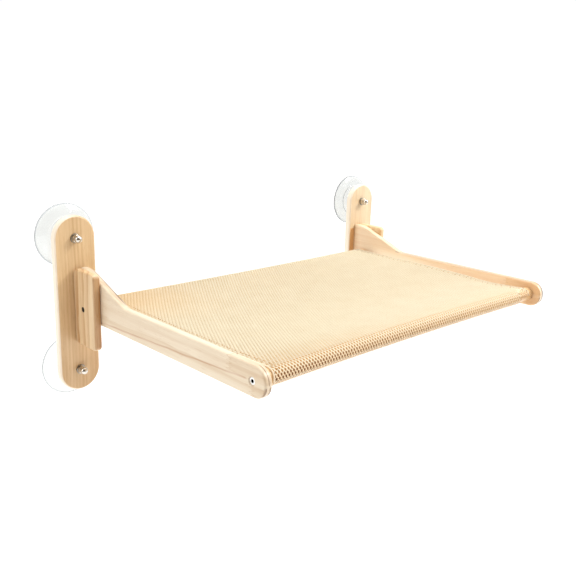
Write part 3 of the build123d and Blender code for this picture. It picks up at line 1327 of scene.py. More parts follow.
@dataclass(frozen=True)
class BoardLook:
    """What the boards of one kind share, and their light and dark tones on the left and on the right."""

    kind: str
    grain: Grain
    left: Pair
    right: Pair
    contrast: float
    ring_width: float

    def finish(self, side: Side, pith: Point, seed: float, features: tuple[Feature, ...]) -> PineFinish:
        """Finish of the board of this kind on one side.

        Args:
            side: Side of the perch.
            pith: Places of the grain's middle.
            seed: Shift along the grain.
            features: What is on the board.

        Returns:
            The finish.
        """
        tones = self.left if side is Side.LEFT else self.right
        node = f"{side.word}_{self.kind}"
        return PineFinish(node, self.grain, pith, tones, seed, self.contrast, self.ring_width, features)


@dataclass(frozen=True)
class Boards:
    """The wooden pieces, each a copy of its solid with soft edges, its own grain and its own features.

    A pith is given by its places across the grain and through the board. The one that runs along X is
    measured outwards from the board's middle. The rear dowel's lies twice as far off as the front one's.
    """

    arms: BoardLook = BoardLook("arm", Grain.ALONG_Y, ((230, 216, 192), (198, 168, 130)),
                                ((246, 226, 196), (222, 178, 128)), 0.3, 7 * MM)
    uprights: BoardLook = BoardLook("upright", Grain.ALONG_Z, ((234, 205, 162), (180, 134, 78)),
                                    ((244, 226, 192), (208, 166, 118)), 0.2, 3.4 * MM)
    cleats: BoardLook = BoardLook("cleat", Grain.UP_THE_CLEAT, ((228, 204, 164), (174, 122, 70)),
                                  ((242, 220, 178), (206, 160, 106)), 0.5, 8 * MM)
    dowel_tones: Pair = ((224, 190, 142), (186, 136, 82))
    dowel_contrast: float = 0.4
    arm_pith: Point = (-0.05, 0.09)
    upright_pith: Point = (-0.05, 0.03)
    cleat_pith: Point = (-0.02, 0.04)
    dowel_pith: Point = (0.02, -0.2)
    arm_seed_step: float = 0.8
    seed_step: float = 0.37
    seam: Seam = Seam(-106.6 * MM, -10.9 * MM, -0.0473, -352 * MM)
    upper_joint: float = -322 * MM
    upper_joint_foot: float = 0.5 * MM
    lower_joint: float = -357 * MM
    lower_joint_top: float = -4 * MM
    arm_marks: ArmMarks = ArmMarks()
    right_arm_fade: Fade = Fade(-90 * MM, -330 * MM, 0.5)
    left_upright_fade: Fade = Fade(60 * MM, -60 * MM, 0.2)
    # Painted shade on the right upright's face, in the corner beside the right arm's heel.
    heel_shadow: Mark = Mark((-60 * MM, 42 * MM), (242 * MM, 251.5 * MM), (-28 * MM, -24 * MM), MM,
                       (214, 152, 82), 0.75)
    # Painted shade on the left cleat's front face.
    cleat_front_shade: float = 0.45
    # Ring of painted shade where the right end of a dowel meets the arm.
    joint_shade_half_width: float = 0.8 * MM
    joint_shade_soft: float = 0.5 * MM
    joint_shade_colour: Colour = (96, 54, 22)

    def arm(self, side: Side) -> PineFinish:
        """Finish of one arm: two strips glued along a seam, each with a finger joint.

        Args:
            side: Side of the perch.

        Returns:
            The finish.
        """
        low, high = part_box(f"{side.word}_arm")
        features = (
            self.seam,
            FingerJoint(self.upper_joint, self.upper_joint_foot, high.z),
            FingerJoint(self.lower_joint, low.z, self.lower_joint_top),
            *self.arm_marks.both(low, high),
        )
        if side is Side.LEFT:
            features += self.arm_marks.left(low, high)
        else:
            features += (*self.arm_marks.right(low, high), self.right_arm_fade)
        pith, offset = self.arm_pith
        place = (pith, (low.x + high.x) / 2 + side.value * offset)
        return self.arms.finish(side, place, side.value * self.arm_seed_step, features)

    def upright(self, side: Side) -> PineFinish:
        """Finish of one upright, with painted light on its left edge.

        Args:
            side: Side of the perch.

        Returns:
            The finish.
        """
        low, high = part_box(f"{side.word}_upright")
        middle, radius = (low.x + high.x) / 2, (high.x - low.x) / 2
        # Painted light on the upright's left edge.
        rim = LitEdge(middle, high.z - radius, radius)
        features = (rim, self.left_upright_fade) if side is Side.LEFT else (self.heel_shadow, rim)
        offset, pith = self.upright_pith
        place = (middle + side.value * offset, pith)
        return self.uprights.finish(side, place, self.seed_step + side.value, features)

    def cleat(self, side: Side) -> PineFinish:
        """Finish of one cleat. The left one's front face is darkened by painted shade.

        Args:
            side: Side of the perch.

        Returns:
            The finish.
        """
        # Painted shade on the front face, used on the left cleat.
        face = FaceShade(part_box(f"{side.word}_cleat")[0].y, self.cleat_front_shade)
        pith, offset = self.cleat_pith
        place = (pith, centre_of(f"{side.word}_upright").x + side.value * offset)
        features = (face,) if side is Side.LEFT else ()
        return self.cleats.finish(side, place, 2 * self.seed_step + side.value, features)

    def dowel(self, order: int, node: str) -> PineFinish:
        """Finish of one dowel, with a ring of painted shade where its right end meets the arm.

        Args:
            order: 1 for the front dowel and 2 for the rear one.
            node: Its node.

        Returns:
            The finish.
        """
        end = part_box(node)[1].x
        # Painted shade at the joint.
        ring = Mark((end - self.joint_shade_half_width, end + self.joint_shade_half_width), EVERYWHERE, EVERYWHERE,
                    self.joint_shade_soft, self.joint_shade_colour)
        pith, offset = self.dowel_pith
        return PineFinish(node, Grain.ALONG_X, (pith, offset * order), self.dowel_tones,
                          self.seed_step * (order + 2), self.dowel_contrast, features=(ring,))

    def build(self) -> None:
        """Gives every wooden node its own grain."""
        finishes = [make(side) for side in Side for make in (self.upright, self.cleat, self.arm)]
        finishes += [self.dowel(order, node) for order, node in enumerate(DOWELS, 1)]
        for finish in finishes:
            dress(smooth_copy(finish.node), finish.material(), nodes=[finish.node])


# Suction cups and their fasteners


@dataclass
class CupSet:
    """One suction cup with its stud, washer and dome nut, turned about the stud's axis.

    Heights run from the glass into the room. An ease is the length that a rounded corner takes.
    """

    side: Side
    level: Level
    vinyl: Material
    steel: Material
    chrome: Material
    steps: int = 96
    seal_width: float = 3 * MM
    lip: float = 1.4 * MM
    lip_inset: float = 0.4 * MM
    lip_share: float = 0.8
    lip_ease: float = 0.35 * MM
    hollow: float = 8 * MM
    hollow_rise: float = -2.0 * MM
    hollow_spans: int = 18
    body_radius: float = 25 * MM
    body_ease: float = 1.0 * MM
    skirt_height: float = 6.8 * MM
    skirt_rise: float = 0.7 * MM
    skirt_spans: int = 12
    ring_width: float = 1.8 * MM
    ring_rise: float = 1.1 * MM
    shoulder_height: float = 13.5 * MM
    shoulder_rise: float = -1.4 * MM
    shoulder_spans: int = 10
    boss_radius: float = 12 * MM
    boss_start: float = 2 * MM
    mould_gap: float = 0.05 * MM
    stud_steps: int = 24
    stud_radius: float = 3 * MM
    stud_ease: float = 0.4 * MM
    flange_radius: float = 8 * MM
    flange_low: float = 10 * MM
    flange_high: float = 12.5 * MM
    thread_pitch: float = 1 * MM
    thread_depth: float = 0.5 * MM
    thread_start: float = 0.2 * MM
    washer_gap: float = 0.2 * MM
    washer_ease: float = 0.25 * MM
    nut_flats: float = 10 * MM
    nut_hex: float = 5 * MM
    nut_chamfer: float = 0.7 * MM
    nut_chamfer_share: float = 0.8
    nut_front_roll_light: tuple[float, float] = (0.3 * MM, 0.25 * MM)
    dome_radius: float = 4.75 * MM
    dome_step: float = 0.5 * MM
    dome_ease: float = 0.35 * MM
    dome_spans: int = 13
    bore_radius: float = 3.05 * MM
    bore_depth: float = 2 * MM
    bore_mouth: float = 0.3 * MM
    place: str = field(init=False)
    axis: Place = field(init=False)
    rim: float = field(init=False)
    height: float = field(init=False)

    def __post_init__(self) -> None:
        """Takes the axis and the outer sizes from the frame."""
        self.place = f"{self.side.word}_{self.level.word}"
        low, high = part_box(f"{self.place}_cup")
        self.axis = ((low.x + high.x) / 2, 0.0, (low.z + high.z) / 2)
        self.rim = (high.x - low.x) / 2
        self.height = high.y - low.y

    def add(self, kind: str, steps: int, *stretches: Stretch) -> bpy.types.Object:
        """Turned piece on this cup's axis that will stand for the node of that kind."""
        points, faces = turned(steps, *stretches)
        return make_object(f"{self.place}_{kind}_shape", placed(points, self.axis, (0, -1, 0)), faces)

    def heights(self, kind: str) -> Span:
        """Heights at which the node of that kind begins and ends."""
        low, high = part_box(f"{self.place}_{kind}")
        return -high.y, -low.y

    def cup_profile(self) -> Array:
        """Cup's section from the stud's pocket over the boss, shoulder, ring, skirt and lip to the hollow.

        Returns:
            Radii and heights, one row for each point.
        """
        gap = self.mould_gap
        flange, stud = self.flange_radius + gap, self.stud_radius + gap
        body, ring = self.body_radius, self.body_radius - self.ring_width
        skirt_top, ring_top = self.skirt_height, self.skirt_height + self.ring_rise
        seal, edge = self.rim - self.seal_width, self.rim - self.lip_inset
        floor, ceiling = self.flange_low - gap, self.flange_high + gap
        pocket = [(0, floor), (flange, floor), (flange, ceiling), (stud, ceiling), (stud, self.height)]
        boss = eased([(self.stud_radius + self.boss_start, self.height), (self.boss_radius, self.height),
                      (self.boss_radius, self.shoulder_height)], self.body_ease)
        shoulder = arc((self.boss_radius, self.shoulder_height), (ring, ring_top), self.shoulder_rise,
                       self.shoulder_spans)
        ring_step = eased([(ring, ring_top), (body, ring_top), (body, skirt_top)], self.body_ease)
        skirt = arc((body, skirt_top), (edge, self.lip), self.skirt_rise, self.skirt_spans)
        lip = eased([(edge, self.lip), (self.rim, self.lip * self.lip_share), (self.rim, 0.0), (seal, 0.0)],
                    self.lip_ease)
        hollow = arc((seal, 0.0), (0.0, self.hollow), self.hollow_rise, self.hollow_spans)
        return np.concatenate([pocket, boss, shoulder[1:], ring_step[1:], skirt[1:], lip[1:], hollow[1:]])

    def build_cup(self) -> None:
        """Clear cup with a hollow towards the glass, and a value that marks its last millimetre of lip."""
        cup = self.add("cup", self.steps, stretch(self.cup_profile()))
        off = mesh_points(cup.data) - np.array(self.axis, np.float32)
        keep_values(cup, LIP, np.clip(1 - (self.rim - np.hypot(off[:, 0], off[:, 2])) / MM, 0, 1))
        dress(cup, self.vinyl, nodes=[f"{self.place}_cup"])

    def build_stud(self) -> None:
        """Stud with a flange in the cup and a thread into the nut."""
        start, end = self.heights("stud")
        height = np.arange(self.flange_high + self.thread_start, end - self.thread_depth,
                           self.thread_pitch / SPANS_PER_PITCH)
        thread = threaded(self.stud_radius, self.thread_depth, self.thread_pitch, height, self.stud_steps)
        flange = eased([(self.flange_radius / 2, start), (self.flange_radius, start),
                        (self.flange_radius, self.flange_high), (self.stud_radius, self.flange_high)],
                       self.stud_ease)
        tip = self.stud_radius - 2 * self.thread_depth
        stud = self.add("stud", self.stud_steps, (0.0, start), stretch(flange), (thread, height), (tip, end),
                        (0.0, end))
        dress(stud, self.steel, nodes=[f"{self.place}_stud"])

    def build_washer(self) -> None:
        """Flat washer with eased edges."""
        low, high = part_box(f"{self.place}_washer")
        outer, bore = (high.x - low.x) / 2, self.stud_radius + self.washer_gap
        base, top = self.heights("washer")
        start = ((bore + outer) / 2, base)
        corners = [start, (outer, base), (outer, top), (bore, top), (bore, base), start]
        washer = self.add("washer", self.steps, stretch(eased(corners, self.washer_ease)[:-1]))
        dress(washer, self.steel, f"{self.place}_washer_set", [f"{self.place}_washer"])

    def build_nut(self) -> None:
        """Dome nut: the smaller of a hexagon and a turned outline up to the shoulder, then a round cap."""
        base, end = self.heights("dome_nut")
        shoulder, floor = base + self.nut_hex, base + self.bore_depth
        corner = self.nut_flats / math.sqrt(3)
        foot, chamfer = corner - self.nut_chamfer, self.nut_chamfer * self.nut_chamfer_share
        cut, drop = self.nut_front_roll_light
        outline = np.array([
            (self.bore_radius, floor), (self.bore_radius, base + self.bore_mouth),
            (self.bore_radius + self.bore_mouth, base), (foot, base), (corner - cut, base + drop),
            (corner, base + chamfer), (corner, shoulder - chamfer), (corner - cut, shoulder - drop),
            (foot, shoulder),
        ])
        hexagonal = np.minimum(outline[:, :1], hexagon(self.nut_flats, round_angles(self.steps)))
        neck = eased([(self.dome_radius + self.dome_step, shoulder), (self.dome_radius, shoulder),
                      (self.dome_radius, end - self.dome_radius)], self.dome_ease)
        rise = np.linspace(0, TURN / 4, self.dome_spans + 1)[1:-1]
        cap = self.dome_radius * np.stack([np.cos(rise), np.sin(rise) - 1], -1) + (0.0, end)
        nut = self.add("dome_nut", self.steps, (0.0, floor), (hexagonal, outline[:, 1]), stretch(neck[1:]),
                       stretch(cap), (0.0, end))
        dress(nut, self.chrome, f"{self.place}_nut_set", [f"{self.place}_dome_nut"])

    def build(self) -> None:
        """Builds the four pieces."""
        self.build_cup()
        self.build_stud()
        self.build_washer()
        self.build_nut()


@dataclass
class FrontBolt:
    """Countersunk bolt with a hexagon socket, on the front dowel's axis."""

    side: Side
    steel: Material
    steps: int = 72
    shank_radius: float = 2.5 * MM
    head_height: float = 2.6 * MM
    head_sink: float = 0.8 * MM
    face_share: float = 0.7
    ease: float = 0.25 * MM
    tip_chamfer: float = 0.6 * MM
    socket_flats: float = 3.5 * MM
    socket_depth: float = 2.3 * MM
    floor_share: float = 0.98
    mouth_share: float = 1.22

    def build(self) -> None:
        """Bolt from its socket's floor over the head to the shank's end."""
        node = f"{self.side.word}_front_bolt"
        low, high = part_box(node)
        head_radius = (high.z - low.z) / 2
        length = high.x - low.x
        outside = low.x if self.side is Side.LEFT else high.x
        socket = hexagon(self.socket_flats, round_angles(self.steps))
        sink, floor = self.head_sink, self.socket_depth
        rim = head_radius - (head_radius - self.shank_radius) * sink / self.head_height
        outline = eased([
            (rim * self.face_share, sink), (rim, sink), (self.shank_radius, self.head_height),
            (self.shank_radius, length - self.tip_chamfer), (self.shank_radius - self.tip_chamfer, length),
        ], self.ease)
        points, faces = turned(
            self.steps, (0.0, floor), (socket * self.floor_share, floor), (socket, sink + self.ease),
            (self.socket_flats / 2 * self.mouth_share, sink), stretch(outline), (0.0, length))
        origin = (outside, (low.y + high.y) / 2, (low.z + high.z) / 2)
        bolt = make_object(f"{node}_shape", placed(points, origin, (-self.side.value, 0, 0)), faces)
        dress(bolt, self.steel, nodes=[node])


@dataclass
class ScrewSet:
    """Countersunk wood screws of one node, with a cross recess and a thread, one above the other.

    Heights run from the head's top to the tip.
    """

    node: str
    towards: Place
    metal: Material
    slot: str
    steps: int = 64
    head_height: float = 2.6 * MM
    face_share: float = 0.8
    ease: float = 0.2 * MM
    shank_radius: float = 2.0 * MM
    tip_length: float = 5 * MM
    tip_share: float = 0.05
    thread_pitch: float = 1.8 * MM
    thread_depth: float = 0.6 * MM
    thread_inset: float = 0.2 * MM
    recess_reach: float = 1.9 * MM
    recess_half_width: float = 0.42 * MM
    recess_depth: float = 1.3 * MM
    floor_share: float = 0.7
    wall_share: float = 0.9
    first_lean: float = 0.5
    lean_step: float = 0.9

    def recess(self, angle: Array) -> Array:
        """Distance to a cross's outline at each angle.

        It is the smaller of the reach over the cosine and the half width over the sine.

        Args:
            angle: Angles round the axis.

        Returns:
            A distance for each.
        """
        quarter, least_sine = TURN / 4, 0.01
        part = np.abs((angle + quarter / 2) % quarter - quarter / 2)
        beside = self.recess_half_width / np.maximum(np.sin(part), least_sine)
        return np.minimum(self.recess_reach / np.cos(part), beside)

    def build(self) -> None:
        """Screws from the recess's floor over the head and the thread to the tip."""
        low, high = (np.array(corner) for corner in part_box(self.node))
        towards = np.array(self.towards)
        head = (high - low)[np.flatnonzero(towards == 0)[0]] / 2
        length = float(abs((high - low) @ towards))
        cross = self.recess(round_angles(self.steps))
        neck, inset = 2 * self.head_height, self.thread_inset
        rim = eased([(head * self.face_share, 0.0), (head, 0.0), (self.shank_radius, self.head_height),
                     (self.shank_radius, neck)], self.ease)
        height = np.arange(neck + inset, length - inset, self.thread_pitch / SPANS_PER_PITCH)
        taper = np.clip((length - height) / self.tip_length, self.tip_share, 1)[:, None]
        thread = threaded(self.shank_radius, self.thread_depth, self.thread_pitch, height, self.steps) * taper
        floor = (cross * self.floor_share, self.recess_depth * self.wall_share)
        points, faces = turned(self.steps, (0.0, self.recess_depth), floor, (cross, 0.0), stretch(rim),
                               (thread, height), (0.0, length))
        copies, groups = [], []
        for count, z in enumerate(np.unique(np.round([low[2] + head, high[2] - head], 5))):
            lean = self.first_lean + self.lean_step * count
            spin = np.array(Matrix.Rotation(-lean, 3, "Z"))
            start = np.where(towards == 0, (low + high) / 2, np.where(towards > 0, low, high))
            start[2] = z
            copies.append(placed(points @ spin, start, towards))
            groups += [group + count * len(points) for group in faces]
        screws = make_object(f"{self.node}_shape", np.concatenate(copies), groups)
        dress(screws, self.metal, nodes=[self.node])


# Sling


@dataclass(frozen=True)
class Stitch:
    """Stitch of a row: depth under the face, pitch, length, turn off the line and width of the thread."""

    depth: float
    pitch: float
    length: float
    slant: float = 0.0
    width: float = 0.55 * MM


@dataclass
class Sling:
    """Knitted sling stretched between the dowels: a holed face over a plain backing, hems and pockets.

    A flat place is (x, s): x across the perch, and s from the front seam round the front roll, along the
    hanging bed and round the rear roll. A bell is given by its middle and width, as shares of the bed.
    """

    bow: float = 4 * MM
    shell: float = 1.5 * MM
    sag: float = 12 * MM
    edge_sag: float = 2 * MM
    mean_lean: float = 0.1
    seam_turn: float = math.radians(-36)
    hole_pitch: float = 4.4 * MM
    row_pitch: float = 3.7 * MM
    hole_half_width: float = 0.62 * MM
    hole_half_length: float = 2.1 * MM
    hole_depth: float = 0.9 * MM
    roll_growth: tuple[float, float] = (0.1, 0.04)
    roll_growth_reach: float = 1.4
    core_depth: float = 1.0 * MM
    underside_depth: float = 1.25 * MM
    layer_thickness: float = 0.2 * MM
    layer_inset: float = MM
    columns: int = 81
    rows: int = 161
    short_width: float = 21 * MM
    short_soft: float = 5 * MM
    short_lift: float = 8.2 * MM
    short_reach: float = 45 * MM
    outward_drift: float = 4 * MM
    outward_bell: tuple[float, float] = (0.55, 0.25)
    inward_drift: float = 8 * MM
    inward_bell: tuple[float, float] = (0.14, 0.15)
    hem_width: float = 9 * MM
    hem_lip: float = 1.6 * MM
    hem_top: float = -0.1 * MM
    hem_under: float = 1.8 * MM
    hem_fold: float = 0.95 * MM
    hem_thickness: float = 0.3 * MM
    hem_fold_spans: int = 8
    hem_turned: float = 5.5 * MM
    pocket_length: float = 30 * MM
    pocket_flat: float = 60 * MM
    pocket_start: float = math.radians(16)
    pocket_seam_depth: float = 1.5 * MM
    pocket_gap: float = 0.15 * MM
    pocket_thickness: float = 0.7 * MM
    pocket_end_share: float = 0.6
    pocket_end_drop: float = 0.2 * MM
    pocket_lap: float = 0.35 * MM
    pocket_laps: int = 9
    pocket_columns: int = 121
    pocket_round_spans: int = 32
    pocket_straight_spans: int = 8
    hem_stitch: Stitch = Stitch(0.2 * MM, 4.4 * MM, 2.2 * MM, math.radians(31), 0.8 * MM)
    back_stitch: Stitch = Stitch(1.95 * MM, 4 * MM, 3.0 * MM)
    seam_stitch: Stitch = Stitch(-0.5 * MM, 4 * MM, 3.7 * MM)
    hem_stitch_inset: float = 0.8 * MM
    seam_stitch_inset: float = 1.6 * MM
    seam_end: float = 2 * MM
    hem_line_points: int = 400
    seam_line_points: int = 300
    dowel_radius: float = field(init=False)
    half_dowel: float = field(init=False)
    front_line: float = field(init=False)
    rear_line: float = field(init=False)
    half_width: float = field(init=False)
    roll: float = field(init=False)
    wrap: float = field(init=False)
    bed: float = field(init=False)
    flat_length: float = field(init=False)
    cloths: dict[Cloth, Material] = field(init=False)

    def __post_init__(self) -> None:
        """Takes the dowels and the sling's width from the frame, and makes the cloths."""
        low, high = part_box("front_dowel")
        self.dowel_radius = (high.z - low.z) / 2
        self.half_dowel = (high.x - low.x) / 2
        self.front_line = -low.y - self.dowel_radius
        self.rear_line = -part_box("rear_dowel")[1].y + self.dowel_radius
        self.half_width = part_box("fabric_sling")[1].x
        self.roll = self.dowel_radius + self.shell
        self.wrap = self.roll * (TURN / 4 + self.mean_lean - self.seam_turn)
        self.bed = self.front_line - self.rear_line - self.bow
        self.flat_length = 2 * self.wrap + self.bed
        self.cloths = self.make_cloths()

    def make_cloths(self) -> dict[Cloth, Material]:
        """Materials of the cloths and the thread, two of which follow the size of the bed.

        Returns:
            A material for each cloth.
        """
        bed = {"length_cm": self.flat_length * CM_PER_M, "half_width_cm": self.half_width * CM_PER_M}
        finishes = (
            # The face's fold pair is painted warm shade where it turns round the dowels.
            HoledKnit(Cloth.FACE.value, ((212, 203, 179), (192, 174, 141)), 6.0, 9.0, 0.12 * MM,
                      fold=((244, 204, 150), (236, 196, 142)), fold_share=0.5, **bed),
            # Core seen only through the face's holes: brown as painted shade, darkest round the dowels on the
            # left.
            BedKnit(Cloth.CORE.value, ((196, 148, 92), (172, 124, 70)),
                    fold=((96, 50, 14), (204, 156, 100)), fold_share=0.9, **bed),
            KnitFinish(Cloth.UNDERSIDE.value, ((226, 200, 162), (204, 168, 122))),
            # Paler than the plain knit, as painted light on the hem.
            KnitFinish(Cloth.HEM.value, ((242, 228, 204), (226, 204, 172))),
            TickedKnit(Cloth.POCKET.value, ((240, 224, 200), (224, 200, 168))),
            KnitFinish(Cloth.THREAD.value, ((204, 162, 114), (176, 130, 84)), 30.0, 30.0, 0.05 * MM),
        )
        return {cloth: finish.material() for cloth, finish in zip(Cloth, finishes)}

    def lines(self, x: Array) -> tuple[Array, Array]:
        """Distances of the bowed dowels' middles from the glass: a round arc over the dowel's length.

        Args:
            x: Places across the perch.

        Returns:
            Distances of the front line and of the rear one.
        """
        radius = (self.half_dowel**2 + self.bow**2) / (2 * self.bow)
        inwards = self.bow - radius + np.sqrt(radius**2 - x**2)
        return self.front_line - inwards, self.rear_line + inwards

    def at(self, x: Array, s: Array, depth: Array | float = 0.0) -> Array:
        """Place of a flat point, sunk under the face by a depth.

        Round a roll it is the dowel's middle plus (roll - depth) times (cos turn, sin turn). On the bed it
        lies on a hanging arc whose ends touch both rolls.

        Args:
            x: Place across the perch.
            s: Flat place along the cloth.
            depth: Distance under the face.

        Returns:
            Points, with one more axis than the broadcast arguments.
        """
        x, s, depth = np.broadcast_arrays(np.asarray(x, float), s, depth)
        front, rear = self.lines(x)
        half = (front - rear) / 2
        hang = self.edge_sag + (self.sag - self.edge_sag) * (1 - (x / self.half_width) ** 2)
        lean = 2 * np.arctan(hang / half)
        bend = (half - self.roll * np.sin(lean)) / np.sin(lean)
        whole = TURN / 4 + lean - self.seam_turn
        turn = self.seam_turn + np.clip(s / self.wrap, 0, 1) * whole
        back = TURN / 4 + lean - np.clip((s - self.wrap - self.bed) / self.wrap, 0, 1) * whole
        swing = lean * (1 - 2 * np.clip((s - self.wrap) / self.bed, 0, 1))
        stage = [s < self.wrap, s > self.wrap + self.bed]
        radius = self.roll - depth
        distance = np.select(stage, [front + radius * np.cos(turn), rear - radius * np.cos(back)],
                             (front + rear) / 2 + (bend + depth) * np.sin(swing))
        height = np.select(stage, [radius * np.sin(turn), radius * np.sin(back)],
                           (self.roll + bend) * np.cos(lean) - (bend + depth) * np.cos(swing))
        return np.stack([x, -distance, height], -1)

    def spot(self, x: Array, s: Array, depth: Array | float = 0.0) -> Array:
        """Place of a flat point on the cloth as it hangs, which isn't quite even on the right.

        The front edge is lifted where the front pocket stops short: the lift rises with a smooth step across
        the pocket's end and fades evenly along the cloth. The right edge runs out and then in by two bell
        curves.

        Args:
            x: Place across the perch.
            s: Flat place along the cloth.
            depth: Distance under the face.

        Returns:
            Points, with one more axis than the broadcast arguments.
        """
        x = np.asarray(x, float)
        share = np.clip((x - self.half_width + self.short_width) / self.short_soft + 0.5, 0, 1)
        lift = self.short_lift * share**2 * (3 - 2 * share)
        along = (s - self.wrap) / self.bed
        outer, inner = (np.exp(-((along - middle) / width) ** 2)
                        for middle, width in (self.outward_bell, self.inward_bell))
        drift = self.outward_drift * outer - self.inward_drift * inner
        shifted = x + drift * np.clip(x / self.half_width, 0, 1) ** 3
        return self.at(shifted, s + lift * np.clip(1 - s / self.short_reach, 0, 1), depth)

    def face(self) -> bpy.types.Object:
        """Holed face: staggered six-sided cells, each a land that dips from its outline into an oval hole.

        Returns:
            The face.
        """
        columns = round(2 * self.half_width / self.hole_pitch)
        rows = round(self.flat_length / self.row_pitch)
        px, py = 2 * self.half_width / columns, self.flat_length / rows
        i, j = np.meshgrid(np.arange(columns), np.arange(rows))
        middle_x = -self.half_width + px * (i + 0.5 + 0.5 * (j % 2))
        keep = middle_x < self.half_width - px / 4
        middle = np.stack([middle_x[keep], py * (j[keep] + 0.5)], -1)
        side = (py**2 - px**2 / 4) / (2 * py)
        peak = (py**2 + px**2 / 4) / (2 * py)
        outline = np.array([(0, peak), (px / 2, side), (px / 2, 0), (px / 2, -side),
                            (0, -peak), (-px / 2, -side), (-px / 2, 0), (-px / 2, side)])
        oval = np.array([self.hole_half_width, self.hole_half_length])
        around = outline / oval
        hole = around / np.linalg.norm(around, axis=1, keepdims=True) * oval
        to_roll = np.minimum(middle[:, 1], self.flat_length - middle[:, 1]) / self.wrap
        nearness = np.clip(self.roll_growth_reach - to_roll, 0, 1)[:, None, None]
        outer = (middle[:, None] + outline).reshape(-1, 2)
        inner = (middle[:, None] + hole * (1 + nearness * np.array(self.roll_growth))).reshape(-1, 2)
        same_flat = 0.01 * MM
        _, first, number = np.unique(np.round(outer / same_flat).astype(int), axis=0, return_index=True,
                                     return_inverse=True)
        flat = np.concatenate([outer[first], inner])
        sink = np.concatenate([np.zeros(len(first)), np.ones(len(inner))])
        ring = number.reshape(len(middle), 8)
        holes = len(first) + np.arange(len(inner)).reshape(ring.shape)
        quads = np.stack([ring, holes, np.roll(holes, -1, 1), np.roll(ring, -1, 1)], -1).reshape(-1, 4)
        flat[:, 1] = np.clip(flat[:, 1], 0, self.flat_length)
        points = self.spot(flat[:, 0], flat[:, 1], sink * self.hole_depth)
        made = make_object("sling_mesh_face", points, [quads], flat * CM_PER_M, sharp=NO_SHARP_DEGREES)
        keep_values(made, SINK, sink)
        return dress(made, self.cloths[Cloth.FACE], nodes=["fabric_sling"])

    def layer(self, name: str, depth: float, cloth: Cloth) -> bpy.types.Object:
        """Plain layer of the whole bed under the holed face.

        Args:
            name: Name of the piece.
            depth: Distance of its upper side under the face.
            cloth: Its cloth.

        Returns:
            The layer.
        """
        x, s = np.meshgrid(np.linspace(-1, 1, self.columns) * (self.half_width - self.layer_inset),
                           np.linspace(0, self.flat_length, self.rows))
        top, under = (self.spot(x, s, sunk) for sunk in (depth, depth + self.layer_thickness))
        made = thick_sheet(name, top, under, np.stack([x, s], -1) * CM_PER_M)
        return dress(made, self.cloths[cloth])

    def hem(self, side: Side) -> bpy.types.Object:
        """Folded edge: a lip on the face, a round fold and a strip turned under by the hem's width.

        Args:
            side: Side of the perch.

        Returns:
            The hem.
        """
        turn = np.linspace(-TURN / 4, TURN / 4, self.hem_fold_spans + 1)
        middle, thick = (self.hem_top + self.hem_under) / 2, self.hem_thickness
        outer = np.concatenate([
            [(self.hem_lip, self.hem_top)],
            np.stack([self.hem_fold * (1 - np.cos(turn)), middle + self.hem_fold * np.sin(turn)], -1),
            [(self.hem_width / 2, self.hem_under), (self.hem_width, self.hem_under)],
        ])
        inner = outer + thick * np.concatenate([
            [(0, 1)], np.stack([np.cos(turn), -np.sin(turn)], -1), [(0, -1), (0, -1)],
        ])
        s = np.linspace(0, self.flat_length, self.rows)[:, None]
        top, under = (
            self.spot(side.value * (self.half_width - part[:, 0]), s, part[:, 1]) for part in (outer, inner))
        flat = np.stack(np.broadcast_arrays(length_along(outer)[None], s), -1) * CM_PER_M
        made = thick_sheet(f"sling_{side.word}_hem", top, under, flat)
        return dress(made, self.cloths[Cloth.HEM])

    def pocket(self, end: int) -> bpy.types.Object:
        """Plain strip under one dowel: from its seam round the roll and straight back under the bed.

        Args:
            end: 1 at the front dowel and -1 at the rear one.

        Returns:
            The strip.
        """
        is_front = end > 0
        short = self.short_width if is_front else 0.0
        x = np.linspace(-self.half_width, self.half_width - short, self.pocket_columns)
        line = self.lines(x)[0 if is_front else 1]
        reach = self.wrap + self.pocket_length
        seam = self.at(x, reach if is_front else self.flat_length - reach, self.pocket_seam_depth)
        to_seam, rise = end * (-seam[:, 1] - line), seam[:, 2]
        leave = np.arctan2(rise, to_seam) + np.arccos(self.roll / np.hypot(to_seam, rise)) - TURN
        start = self.seam_turn + self.pocket_start
        share = np.linspace(0, 1, self.pocket_round_spans + 1)[:, None]
        run = np.linspace(0, 1, self.pocket_straight_spans + 1)[1:, None, None]
        turn = start + (leave - start) * share
        lap = np.clip(1 - share * self.pocket_laps, 0, 1) * self.pocket_lap
        layers = []
        for inset in (0.0, self.pocket_thickness):
            radius = self.roll + self.pocket_gap + lap - inset
            curved = np.stack([radius * np.cos(turn), radius * np.sin(turn)], -1)
            last = np.stack([to_seam, rise - self.pocket_end_drop + inset * self.pocket_end_share], -1)
            path = np.concatenate([curved, curved[-1] + (last - curved[-1]) * run])
            distance = line + end * path[..., 0]
            layers.append(np.stack([np.broadcast_to(x, distance.shape), -distance, path[..., 1]], -1))
        girth = length_along(layers[0])
        flat = np.stack([np.broadcast_to(x, girth.shape), girth], -1) * CM_PER_M
        made = thick_sheet("sling_front_pocket" if is_front else "sling_rear_pocket", *layers, flat)
        return dress(made, self.cloths[Cloth.POCKET])

    def stitches(self, name: str, x: Array, s: Array, stitch: Stitch) -> bpy.types.Object:
        """Row of stitches evenly spaced along a line of flat places.

        Args:
            name: Name of the row.
            x: Places across the perch along the line.
            s: Flat places along the cloth.
            stitch: Sizes of the stitches.

        Returns:
            The row as one piece.
        """
        run = length_along(self.spot(x, s, stitch.depth))
        at = np.arange(stitch.pitch / 2, run[-1], stitch.pitch)

        def along(offset: float, depth: float) -> Array:
            """Places at a distance past each stitch's middle, at a depth."""
            return self.spot(np.interp(at + offset, run, x), np.interp(at + offset, run, s), depth)

